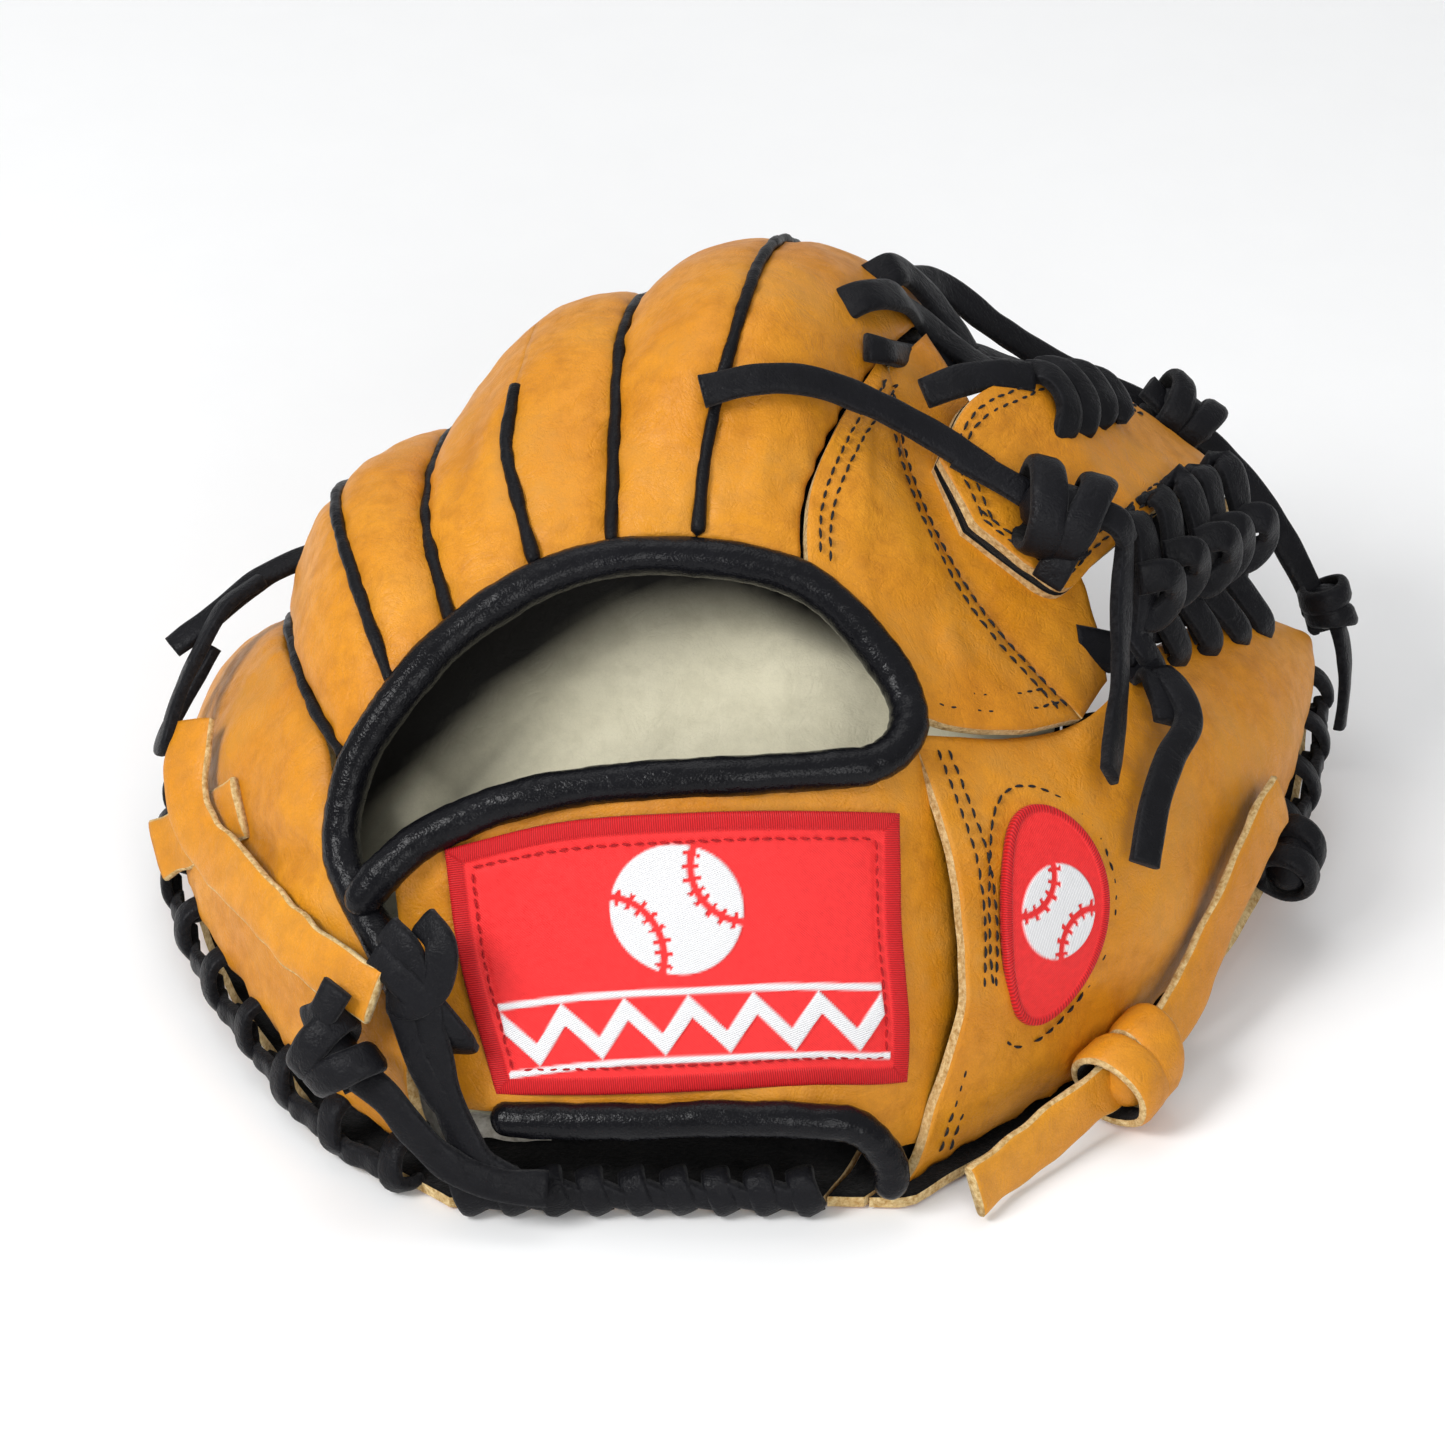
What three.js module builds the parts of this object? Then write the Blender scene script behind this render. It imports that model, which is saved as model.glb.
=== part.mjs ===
// A baseball fielder's glove for the left hand, lying palm down on a flat surface.
// Millimetres. +X runs towards the thumb, +Y from the heel to the fingertips and +Z up. The origin is on
// the resting surface, under the middle of the heel.
import * as THREE from "three";

// ---- Driving dimensions ------------------------------------------------------------------------------
const LEATHER = 2.4; // shell leather
const LINING = 1.2; // lining leather of the palm and the stalls
const GAP = 0.5; // clearance between neighbouring pieces
const SEAM = 1.8; // from a seam line to the leather beside it
const WELT = 2.2; // diameter of the welt cord in a seam
const BINDING = 7.6; // diameter of the rolled binding
const LACE_WIDTH = 6.2; // rawhide lace
const LACE_THICK = 2.4;
const STRAP_WIDTH = 11; // leather loops of the pinky and the thumb
const PAD = 5; // heel pads
const FELT = 2.6; // felt layer of the palm
const PATCH = 1.6; // embroidered patches
const STALL_HEIGHT = 23; // inside a finger stall
const TUBE_SIDES = 8;

// ---- Materials ---------------------------------------------------------------------------------------
const material = (color, roughness) => new THREE.MeshStandardMaterial({ color, roughness, metalness: 0 });
const tan = material(0xc9792a, 0.5);
const palmTan = material(0xb0651f, 0.5);
const lining = material(0xaeab98, 0.75);
const black = material(0x161618, 0.5);
const glossBlack = material(0x111113, 0.32);
const red = material(0xd0202a, 0.7);
const felt = material(0xd8d2c4, 0.95);

// ---- Curves and surfaces -----------------------------------------------------------------------------
const point = (p) => new THREE.Vector3(...p);
const rail = (...points) => new THREE.CatmullRomCurve3(points.map(point), false, "centripetal");
const mix = (a, b, k) => a.clone().lerp(b, k);

// A finger's back: an arch from its left valley over its ridge to its right valley. fullness under 1 makes
// the sides steeper.
function arch(left, ridge, right, fullness = 0.75) {
  return (u, t) => {
    const a = left.getPointAt(t);
    const b = right.getPointAt(t);
    const rise = ridge.getPointAt(t).sub(mix(a, b, 0.5));
    return mix(a, b, u).addScaledVector(rise, Math.sin(Math.PI * u) ** fullness);
  };
}

// A smooth skin through rails that run side by side. Nothing goes below the resting surface.
function loft(...rails) {
  return (u, t) => {
    const across = new THREE.CatmullRomCurve3(rails.map((r) => r.getPointAt(t)), false, "centripetal");
    const p = across.getPoint(u);
    p.z = Math.max(p.z, 0);
    return p;
  };
}

// A patch inside four edges: bottom and top run with u, left and right with t.
function coons(bottom, top, left, right, bulge = 0) {
  const corner = [bottom.getPointAt(0), bottom.getPointAt(1), top.getPointAt(0), top.getPointAt(1)];
  const across = corner[1].clone().sub(corner[0]);
  const along = corner[2].clone().sub(corner[0]);
  const out = across.cross(along).normalize();
  return (u, t) => {
    const rows = mix(bottom.getPointAt(u), top.getPointAt(u), t);
    const columns = mix(left.getPointAt(t), right.getPointAt(t), u);
    const corners = mix(mix(corner[0], corner[1], u), mix(corner[2], corner[3], u), t);
    const height = bulge * Math.sin(Math.PI * u) * Math.sin(Math.PI * t);
    return rows.add(columns).sub(corners).addScaledVector(out, height);
  };
}

// Point on a row of the surface, a given share of the way along it, after so many millimetres are taken off
// its two ends.
function trimmedRow(surface, t, from, to, trimLeft, trimRight, count) {
  const samples = 32;
  const us = Array.from({ length: samples + 1 }, (_, i) => from + ((to - from) * i) / samples);
  const points = us.map((u) => surface(u, t));
  const run = [0];
  for (let i = 1; i <= samples; i++) run.push(run[i - 1] + points[i].distanceTo(points[i - 1]));
  const row = [];
  for (let k = 0; k <= count; k++) {
    const wanted = trimLeft + ((run[samples] - trimLeft - trimRight) * k) / count;
    let i = 1;
    while (i < samples && run[i] < wanted) i++;
    const share = (wanted - run[i - 1]) / (run[i] - run[i - 1]);
    row.push(mix(points[i - 1], points[i], share));
  }
  return row;
}

const at = (value, t) => (typeof value === "function" ? value(t) : value);

// ---- Solids ------------------------------------------------------------------------------------------
function solid(vertices, faces) {
  const geometry = new THREE.BufferGeometry();
  const numbers = vertices.flatMap((p) => [p.x, p.y, p.z]);
  geometry.setAttribute("position", new THREE.Float32BufferAttribute(numbers, 3));
  geometry.setIndex(faces);
  return geometry;
}

// A sheet of material along a surface. layer is the height of its two faces over the surface; along and
// across are the shares of the surface it covers; trim takes millimetres off its left and right edges.
function sheet(surface, { layer, along = [0, 1], across = [0, 1], trim = [SEAM, SEAM], cells = [5, 12] }) {
  const [columns, rows] = cells;
  const grid = [];
  for (let j = 0; j <= rows; j++) {
    const t = along[0] + ((along[1] - along[0]) * j) / rows;
    grid.push(trimmedRow(surface, t, across[0], across[1], at(trim[0], t), at(trim[1], t), columns));
  }
  const normal = (i, j) => {
    const du = grid[j][Math.min(i + 1, columns)].clone().sub(grid[j][Math.max(i - 1, 0)]);
    const dt = grid[Math.min(j + 1, rows)][i].clone().sub(grid[Math.max(j - 1, 0)][i]);
    return du.cross(dt).normalize();
  };
  const vertices = [];
  for (const height of layer)
    for (let j = 0; j <= rows; j++)
      for (let i = 0; i <= columns; i++)
        vertices.push(grid[j][i].clone().addScaledVector(normal(i, j), height));
  const lower = (i, j) => j * (columns + 1) + i;
  const upper = (i, j) => lower(i, j) + (rows + 1) * (columns + 1);
  const faces = [];
  const quad = (a, b, c, d) => faces.push(a, b, c, a, c, d);
  for (let j = 0; j < rows; j++)
    for (let i = 0; i < columns; i++) {
      quad(upper(i, j), upper(i + 1, j), upper(i + 1, j + 1), upper(i, j + 1));
      quad(lower(i, j), lower(i, j + 1), lower(i + 1, j + 1), lower(i + 1, j));
    }
  for (let i = 0; i < columns; i++) {
    quad(lower(i, 0), lower(i + 1, 0), upper(i + 1, 0), upper(i, 0));
    quad(lower(i + 1, rows), lower(i, rows), upper(i, rows), upper(i + 1, rows));
  }
  for (let j = 0; j < rows; j++) {
    quad(lower(0, j + 1), lower(0, j), upper(0, j), upper(0, j + 1));
    quad(lower(columns, j), lower(columns, j + 1), upper(columns, j + 1), upper(columns, j));
  }
  return solid(vertices, faces);
}

// A round cord along a curve.
function cord(curve, diameter, steps, sides = TUBE_SIDES) {
  const section = new THREE.Shape();
  section.absarc(0, 0, diameter / 2, 0, 2 * Math.PI);
  const along = { extrudePath: curve, steps, curveSegments: sides, bevelEnabled: false };
  return new THREE.ExtrudeGeometry(section, along);
}

// A flat lace along a curve, with its broad face turned towards up.
function lace(curve, up, steps, width = LACE_WIDTH, thick = LACE_THICK) {
  const vertices = [];
  for (let i = 0; i <= steps; i++) {
    const t = i / steps;
    const ahead = curve.getTangentAt(t);
    const facing = Array.isArray(up) ? point(up) : up(t);
    const side = ahead.clone().cross(facing).normalize();
    const top = side.clone().cross(ahead).normalize();
    for (const [a, b] of [[-1, -1], [1, -1], [1, 1], [-1, 1]]) {
      const corner = curve.getPointAt(t).addScaledVector(side, (a * width) / 2);
      vertices.push(corner.addScaledVector(top, (b * thick) / 2));
    }
  }
  const faces = [];
  for (let i = 0; i < steps; i++)
    for (let k = 0; k < 4; k++) {
      const [a, b] = [4 * i + k, 4 * i + ((k + 1) % 4)];
      faces.push(a, a + 4, b, b, a + 4, b + 4);
    }
  const last = 4 * steps;
  faces.push(0, 1, 2, 0, 2, 3, last, last + 2, last + 1, last, last + 3, last + 2);
  return solid(vertices, faces);
}

// A thin-walled cup: rings of points from its mouth to its closed tip, outside and inside.
function cup(outer, inner) {
  const sides = outer[0].length;
  const vertices = [...outer.flat(), ...inner.flat()];
  const start = outer.length * sides;
  const faces = [];
  const wall = (base, rings, turned) => {
    for (let j = 0; j < rings - 1; j++)
      for (let k = 0; k < sides; k++) {
        const a = base + j * sides + k;
        const b = base + j * sides + ((k + 1) % sides);
        if (turned) faces.push(a, b, a + sides, b, b + sides, a + sides);
        else faces.push(a, a + sides, b, b, a + sides, b + sides);
      }
    const tip = base + (rings - 1) * sides;
    for (let k = 1; k < sides - 1; k++)
      if (turned) faces.push(tip, tip + k, tip + k + 1);
      else faces.push(tip, tip + k + 1, tip + k);
  };
  wall(0, outer.length, false);
  wall(start, inner.length, true);
  for (let k = 0; k < sides; k++) {
    const next = (k + 1) % sides;
    faces.push(k, next, start + k, next, start + next, start + k);
  }
  return solid(vertices, faces);
}

// A flat patch of any outline on a surface: a fan from its middle, given in the surface's own shares.
function badge(surface, middle, outline, layer) {
  const step = 0.01;
  const lifted = (u, t, height) => {
    const du = surface(u + step, t).sub(surface(u - step, t));
    const dt = surface(u, t + step).sub(surface(u, t - step));
    return surface(u, t).addScaledVector(du.cross(dt).normalize(), height);
  };
  const ring = (share, height) => outline.map(([u, t]) =>
    lifted(middle[0] + (u - middle[0]) * share, middle[1] + (t - middle[1]) * share, height));
  const rings = [ring(1, layer[0]), ring(1, layer[1]), ring(0.5, layer[1]), ring(0.5, layer[0])];
  const vertices = [...rings.flat(), lifted(...middle, layer[1]), lifted(...middle, layer[0])];
  const sides = outline.length;
  const faces = [];
  for (let k = 0; k < sides; k++) {
    const next = (k + 1) % sides;
    const [low, high, inner, innerLow] = [0, 1, 2, 3].map((r) => r * sides);
    faces.push(low + k, low + next, high + k, high + k, low + next, high + next);
    faces.push(high + k, high + next, inner + k, inner + k, high + next, inner + next);
    faces.push(innerLow + k, innerLow + next, low + k, low + k, innerLow + next, low + next);
    faces.push(4 * sides, inner + k, inner + next, 4 * sides + 1, innerLow + next, innerLow + k);
  }
  return solid(vertices, faces);
}

// A knot drawn tight, as one rounded lump.
function bead(centre, radii) {
  const geometry = new THREE.IcosahedronGeometry(1, 1);
  geometry.scale(...radii);
  geometry.translate(...centre);
  return geometry;
}

// ---- Rails: seams, ridges and edges of the glove -----------------------------------------------------
// Back of the hand. Every rail starts at the hand opening and ends at the fingertips.
const pinkyEdge = rail([-48, -2, 7], [-71, 18, 10], [-86, 41, 13], [-97, 61, 15], [-105, 86, 17],
  [-107, 108, 17],
  [-105, 130, 15], [-98, 150, 12], [-88, 166, 8]);
const pinkyRidge = rail([-53, 2, 26], [-66, 18, 36], [-79, 40, 45], [-89, 62, 47], [-96, 88, 47],
  [-98, 114, 42],
  [-95, 138, 31], [-87, 160, 17]);
const pinkyInner = rail([-50, 5, 38], [-57, 17, 47], [-66, 35, 60], [-70, 52, 70], [-76, 72, 70.5],
  [-81, 92, 66],
  [-82, 110, 60], [-81, 130, 47], [-77, 148, 30], [-73, 158, 18]);
const pinkyRingSeam = rail([-65, 42, 71], [-73, 60, 71.5], [-79, 85, 69], [-82, 108, 61], [-81, 130, 47],
  [-77, 148, 30], [-73, 158, 18]);
const ringRidge = rail([-56, 48, 82], [-63, 66, 91], [-69, 88, 95], [-71, 108, 91.5], [-69, 132, 78],
  [-64, 152, 58], [-59, 168, 32]);
const middleRingSeam = rail([-45, 57, 90.6], [-51, 80, 97], [-52, 105, 96.5], [-49, 135, 90],
  [-44, 158, 74],
  [-38, 173, 55], [-34, 180, 42]);
const middleRidge = rail([-29, 63, 99], [-33, 78, 106], [-36, 92, 111], [-34, 115, 116], [-31, 140, 112],
  [-25, 164, 98], [-19, 184, 74], [-15, 193, 50]);
const indexMiddleSeam = rail([-15.5, 66, 102], [-15, 90, 112], [-14, 120, 120], [-11, 140, 117],
  [-7, 160, 106],
  [-3, 180, 84], [0, 190, 60]);
const indexRidge = rail([0.7, 67, 102], [3, 84, 116.5], [9, 105, 132], [14, 130, 133], [19, 154, 124],
  [25, 176, 106], [30, 194, 80], [31, 204, 52]);
const indexEdge = rail([21, 64, 98.6], [22, 80, 107], [28, 97, 112.5], [38, 121, 115], [46, 140, 112],
  [51, 165, 98], [51, 188, 75], [49, 200, 52]);

// Crotch and thumb.
const openingCorner = rail([22, 64, 98.5], [34, 57, 89.5], [41, 48, 79], [60, 55, 69], [76, 68, 63.5]);
const crotchSeamLeft = rail([22, 64, 98.5], [22.5, 80, 107], [28, 97, 112.5], [37, 120, 115]);
const crotchSeamRight = rail([76, 68, 63.5], [56, 80, 82], [43, 100, 99], [38.5, 120, 114.5]);
const crotchTip = rail([37, 120, 115], [38.5, 120, 114.5]);
const webShoulder = rail([81, 84, 62], [79.5, 90, 70.5], [76, 98, 79], [69, 107, 88.5], [60, 116, 98],
  [46, 137, 112]);
const thumbUpper = rail([42, 44, 76], [60, 54.5, 68.5], [76, 67.5, 63], [84, 80, 61.5], [93, 99, 60],
  [109, 124, 51], [122, 142, 39], [127, 152, 31]);
const thumbLower = rail([42, 0, 7], [61, 17, 9], [82, 35, 12], [95, 52, 14], [113, 82, 18], [127, 117, 23],
  [132, 146, 29]);
const thumbStart = rail([42, 44, 76], [45, 36, 67], [48.5, 27, 55], [49, 15, 33], [45, 6, 16], [42, 0, 7]);
const thumbEnd = rail([127, 152, 31], [132, 146, 29]);

// Palm leather, from the heel to the fingertips; the last rail runs beside the palm's fold to the crotch.
const palmPinkyEdge = rail([-46, -4, -1], [-69, 16, 0], [-84, 40, 2], [-95, 61, 4], [-103, 86, 6],
  [-105, 108, 7],
  [-103, 130, 7], [-96, 149, 6], [-86, 163, 4]);
const palmPinkyPad = rail([-36, -4, -2], [-56, 20, -2], [-70, 43, -2], [-80, 64, -1], [-88, 88, -1],
  [-91, 108, 0],
  [-89, 130, 3], [-84, 148, 6], [-77, 159, 9]);
const palmRing = rail([-22, -4, -2], [-29, 10, -1], [-41, 32, 12], [-58, 60, 32], [-67, 92, 45],
  [-69, 122, 42],
  [-66, 144, 33], [-61, 159, 20]);
const palmMiddle = rail([-8, -4, -2], [-11, 10, -3], [-20, 36, 22], [-33, 72, 52], [-40, 105, 73],
  [-40, 133, 73],
  [-36, 158, 56], [-30, 176, 37]);
const palmIndex = rail([8, -4, -2], [8, 10, -3], [6, 40, 26], [3, 76, 56], [3, 108, 84], [7, 138, 95],
  [14, 165, 85], [21, 186, 64], [24, 198, 44]);
const palmFold = rail([26, -4, -2], [33, 8, 2], [44, 27, 17], [60, 54, 36], [74, 79, 53], [65, 97, 70],
  [53, 120, 88], [48, 148, 94], [48, 175, 80], [46, 196, 45]);

// Thumb side of the palm.
const thumbFold = rail([33, -4, -2], [41, 5, 1], [53, 26, 16], [68, 52, 36], [82, 78, 54], [92, 98, 54],
  [107, 122, 45], [119, 139, 34], [125, 149, 27]);
const thumbPalm = rail([36, -4, -2], [46, 8, -1], [56, 30, 6], [72, 54, 20], [85, 76, 30], [96, 96, 34],
  [110, 120, 33], [121, 138, 28], [127, 148, 25]);
const thumbPad = rail([40, -4, -2], [56, 14, -2], [75, 34, -2], [88, 52, -2], [105, 81, 0], [120, 116, 8],
  [129, 144, 21]);
const palmThumbEdge = rail([43, -3, -1], [62, 14, -1], [83, 32, 1], [96, 50, 3], [114, 80, 6],
  [128, 116, 13],
  [132, 144, 23]);

// Wrist strap and its edges.
const strapBottom = rail([-44, 5, 21], [-20, 2, 23], [2, 0.5, 24], [22, 1, 22], [39, 4, 14]);
const strapTop = rail([-46, 27, 62], [-24, 26, 69], [2, 25, 72], [28, 28.5, 70.5], [41, 33.5, 68]);
const strapLeft = rail([-44, 5, 21], [-47, 15, 42], [-46, 27, 62]);
const strapRight = rail([39, 4, 14], [46, 14, 33], [45.5, 25, 52], [41, 33.5, 68]);

// Black rolled edge round the hand opening: up the left side, over the knuckles, down the right and back
// along the top of the strap.
const openingEdge = rail([-51, 7, 37], [-57, 15, 46], [-66.5, 33, 57], [-64, 42, 70], [-56, 48, 82],
  [-45, 57, 90.6], [-29, 63, 99], [-15.5, 66, 102], [0.7, 67, 102], [21, 64, 98.6], [34, 57, 89.5],
  [40.7, 48.5, 82], [41, 41.5, 78.4], [35, 35, 76.2], [24, 32.5, 76], [2, 30.5, 76], [-24, 30.5, 73],
  [-38, 29.5, 69.5], [-50, 27, 64.5]);
const wristEdge = rail([-38, 0.5, 18.5], [-24.5, -2, 19.5], [-9.5, -4, 21], [5.5, -5, 22.5],
  [20.5, -5.5, 22.5], [31, -5, 20.5], [36.5, -4.8, 14], [38, -5, 8], [36.5, -5, 4.2]);

// Web: the two edges of its post, which starts as a flap on the shoulder of the crotch.
const postRight = rail([54, 91, 93.5], [65, 87.5, 85.5], [72.5, 87.5, 80.5], [79, 95, 82], [85, 103, 82.5],
  [92.5, 115, 81.5], [101, 128, 77.5], [109, 140, 73], [114, 149, 64]);
const postLeft = rail([48, 101, 102], [54, 113, 108.5], [62, 122, 108], [71, 133, 104.5], [84.5, 147, 90],
  [97, 158, 75], [108, 167, 60.5]);

// ---- The assembly ------------------------------------------------------------------------------------
const glove = new THREE.Group();
function add(name, geometry, look) {
  const mesh = new THREE.Mesh(geometry, look);
  mesh.name = name;
  glove.add(mesh);
}

const SHELL = [-LEATHER, 0]; // the rails lie on the outer face of the back leather
const OUTER = [0, LEATHER]; // and on the outer face of the palm leather
const CLEAR = BINDING / 2 + GAP; // leather stops this far from the middle of a binding
const AHEAD = 0.05; // share of a finger's rails that the binding takes up

// Back of the fingers.
const pinkyBack = arch(pinkyEdge, pinkyRidge, pinkyInner, 0.6);
const ringBack = arch(pinkyRingSeam, ringRidge, middleRingSeam);
const middleBack = arch(middleRingSeam, middleRidge, indexMiddleSeam);
const indexBack = arch(indexMiddleSeam, indexRidge, indexEdge, 0.7);
const besideOpening = (t) => (t < 0.4 ? CLEAR + 4 : SEAM + 0.4);
add("pinky_back", sheet(pinkyBack,
  { layer: SHELL, along: [0.03, 1], trim: [0, besideOpening], cells: [7, 16] }), tan);
const halves = [["outer", [0, 0.5]], ["inner", [0.5, 1]]];
for (const [finger, surface] of [["ring", ringBack], ["middle", middleBack], ["index", indexBack]])
  for (const [half, across] of halves)
    add(`${finger}_back_${half}`, sheet(surface,
      { layer: SHELL, along: [AHEAD, 1], across, cells: [3, 12] }), tan);

// Crotch and thumb.
const crotch = coons(openingCorner, crotchTip, crotchSeamLeft, crotchSeamRight, 2);
add("crotch_panel", sheet(crotch,
  { layer: SHELL, along: [0.16, 0.9], trim: [0.6, 0.6], cells: [6, 7] }), tan);
const shoulder = loft(crotchSeamRight, webShoulder);
add("web_shoulder_panel", sheet(shoulder,
  { layer: SHELL, along: [0.04, 0.97], trim: [0.6, 0], cells: [3, 8] }), tan);
const thumbFlat = coons(thumbStart, thumbEnd, thumbUpper, thumbLower);
const thumbBack = (u, t) => {
  const out = new THREE.Vector3(0.72, -0.2, 0.5).multiplyScalar(9 * Math.sin(Math.PI * u) ** 0.8);
  return thumbFlat(u, t).addScaledVector(out, Math.sin(Math.PI * (0.08 + 0.84 * t)) ** 0.7);
};
add("thumb_back", sheet(thumbBack,
  { layer: SHELL, along: [0.03, 0.98], trim: [3, 0], cells: [7, 14] }), tan);

// Welts in the seams of the fingers.
const welts = { pinky_ring: pinkyRingSeam, ring: ringRidge, middle_ring: middleRingSeam, middle: middleRidge,
  index_middle: indexMiddleSeam, index: indexRidge };
const stretch = (curve, from, to, count = 14) =>
  new THREE.CatmullRomCurve3(
    Array.from({ length: count + 1 }, (_, i) => curve.getPointAt(from + ((to - from) * i) / count)));
for (const [name, curve] of Object.entries(welts))
  add(`welt_${name}`, cord(stretch(curve, AHEAD + 0.01, 0.985), WELT, 18, 6), black);

// Rolled bindings.
add("hand_opening_binding", cord(openingEdge, BINDING, 48), glossBlack);
add("wrist_binding", cord(wristEdge, BINDING - 1, 16), glossBlack);

// Wrist strap, and the patches on the strap and the thumb.
const strap = coons(strapBottom, strapTop, strapLeft, strapRight);
const onTop = [GAP, GAP + PATCH];
add("wrist_strap", sheet(strap, { layer: SHELL, along: [0.07, 0.93], trim: [0, 0], cells: [8, 5] }), tan);
add("wrist_patch", sheet(strap, { layer: onTop, along: [0.07, 0.985], trim: [(t) => 0.5 + 7 * (1 - t), 2],
  cells: [8, 5] }), red);
const patchMiddle = [0.46, 0.13]; // on the thumb's back
const oval = Array.from({ length: 24 }, (_, i) => {
  const turn = (2 * Math.PI * i) / 24;
  return [patchMiddle[0] + 0.27 * Math.cos(turn), patchMiddle[1] + 0.08 * Math.sin(turn)];
});
add("thumb_patch", badge(thumbBack, patchMiddle, oval, onTop), red);

// Palm leather, with a fold that gives way between the fingers and the thumb.
const palm = loft(palmPinkyEdge, palmPinkyPad, palmRing, palmMiddle, palmIndex, palmFold);
const thumbSide = loft(thumbFold, thumbPalm, thumbPad, palmThumbEdge);
const FOLD_TRIM = 2;
add("palm_shell", sheet(palm, { layer: OUTER, trim: [0, FOLD_TRIM], cells: [12, 16] }), palmTan);
add("thumb_palm_shell", sheet(thumbSide, { layer: OUTER, trim: [FOLD_TRIM, 0], cells: [7, 15] }), palmTan);
const fold = loft(stretch(palmFold, 0.02, 0.42), stretch(thumbFold, 0.02, 0.58));
add("palm_crease", sheet(fold, { layer: OUTER, trim: [0, 0], cells: [2, 10] }), palmTan);

// Pads and lining over the palm leather.
const PAD_BASE = LEATHER + 3;
const PAD_TOP = PAD_BASE + PAD;
const LINING_BASE = PAD_TOP + 1.2;
const onPalm = (layer, along, across, trim, cells) => sheet(palm, { layer, along, across, trim, cells });
add("pinky_heel_pad", onPalm([PAD_BASE, PAD_TOP], [0.1, 0.4], [0.14, 0.34], [0, 0], [3, 8]), felt);
add("palm_pad", onPalm([PAD_BASE, PAD_BASE + FELT], [0.1, 0.6], [0.38, 1], [0, 8], [7, 11]), felt);
add("palm_lining", onPalm([LINING_BASE, LINING_BASE + LINING], [0.09, 0.42], [0.12, 1], [0, 11],
  [9, 8]), lining);
add("thumb_heel_pad", sheet(thumbSide,
  { layer: [PAD_BASE, PAD_TOP], along: [0.22, 0.46], across: [0.26, 0.45],
  trim: [0, 0], cells: [3, 6] }), felt);

// Stalls: a lining cup under each back, from its mouth at the hand opening to near the fingertip.
const STALL_SIDES = 12;
function stall(surface, { along, height, share, drop = 2.2, middle = 0.5 }) {
  const rings = (shrink, from, to) =>
    [0, 0.25, 0.5, 0.75, 1].map((step) => {
      const t = from + (to - from) * step;
      const taper = 1 - 0.35 * step ** 3;
      const [left, right] = [surface(0.04, t), surface(0.96, t)];
      const ahead = surface(middle, Math.min(t + 0.03, 1)).sub(surface(middle, t - 0.03)).normalize();
      const side = right.clone().sub(left);
      const half = (side.length() / 2) * share * taper - shrink;
      side.addScaledVector(ahead, -side.dot(ahead)).normalize();
      const up = side.clone().cross(ahead).normalize();
      const tall = (height * taper) / 2 - shrink;
      const centre = surface(middle, t).addScaledVector(up, -(LEATHER + drop + height * taper / 2));
      return Array.from({ length: STALL_SIDES }, (_, k) => {
        const turn = (2 * Math.PI * k) / STALL_SIDES;
        const out = side.clone().multiplyScalar(half * Math.cos(turn));
        return centre.clone().add(out).addScaledVector(up, tall * Math.sin(turn));
      });
    });
  return cup(rings(0, along[0], along[1]), rings(LINING, along[0], along[1] - 0.02));
}
add("pinky_stall", stall(pinkyBack,
  { along: [0.42, 0.86], height: 14, share: 0.5, drop: 3, middle: 0.5 }), lining);
add("ring_stall", stall(ringBack, { along: [0.2, 0.66], height: 14, share: 0.64, drop: 3.4 }), lining);
add("middle_stall", stall(middleBack, { along: [0.2, 0.8], height: 17, share: 0.76 }), lining);
add("index_stall", stall(indexBack, { along: [0.2, 0.68], height: 15, share: 0.7 }), lining);
add("thumb_stall", stall(thumbBack, { along: [0.4, 0.8], height: 9, share: 0.55, drop: 2.4 }), lining);

// Web.
const post = loft(postLeft, postRight);
add("web_post_back", sheet(post, { layer: [0, LEATHER], trim: [0, 0], cells: [4, 10] }), tan);
add("web_post_front", sheet(post,
  { layer: [-LEATHER - GAP, -GAP], along: [0.42, 1], trim: [0, 0], cells: [4, 6] }), tan);
const webUp = [0.5, -0.3, 0.8];
const indexWebLace = rail([55, 138, 113], [67, 134, 109], [56, 149, 106], [76, 142, 102], [58, 160, 101.5],
  [84, 151, 93.5], [59, 168, 91], [89, 156.5, 84], [59, 178, 82], [90, 165, 75]);
const thumbWebLace = rail([87, 86, 68], [85, 94, 78], [92, 92, 66.5], [89.5, 104, 86], [98, 102, 65],
  [97, 116, 86.5], [106, 114, 60.5], [105, 129, 83], [114, 126, 54.5], [113.5, 140, 77.5],
  [122, 139, 46], [116.5, 149, 62]);
const webRim = rail([52, 168, 106], [64, 171, 94.5], [77.2, 172.5, 84.5], [90, 174, 77], [100, 174.5, 71.5],
  [108.4, 173, 67], [121.8, 169, 53.5], [130.5, 164, 40]);
add("web_index_lace", lace(indexWebLace, webUp, 40, 5), black);
add("web_thumb_lace", lace(thumbWebLace, webUp, 40, 5), black);
add("web_top_lace", lace(webRim, [0.4, 0.1, 0.9], 18), black);

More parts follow.
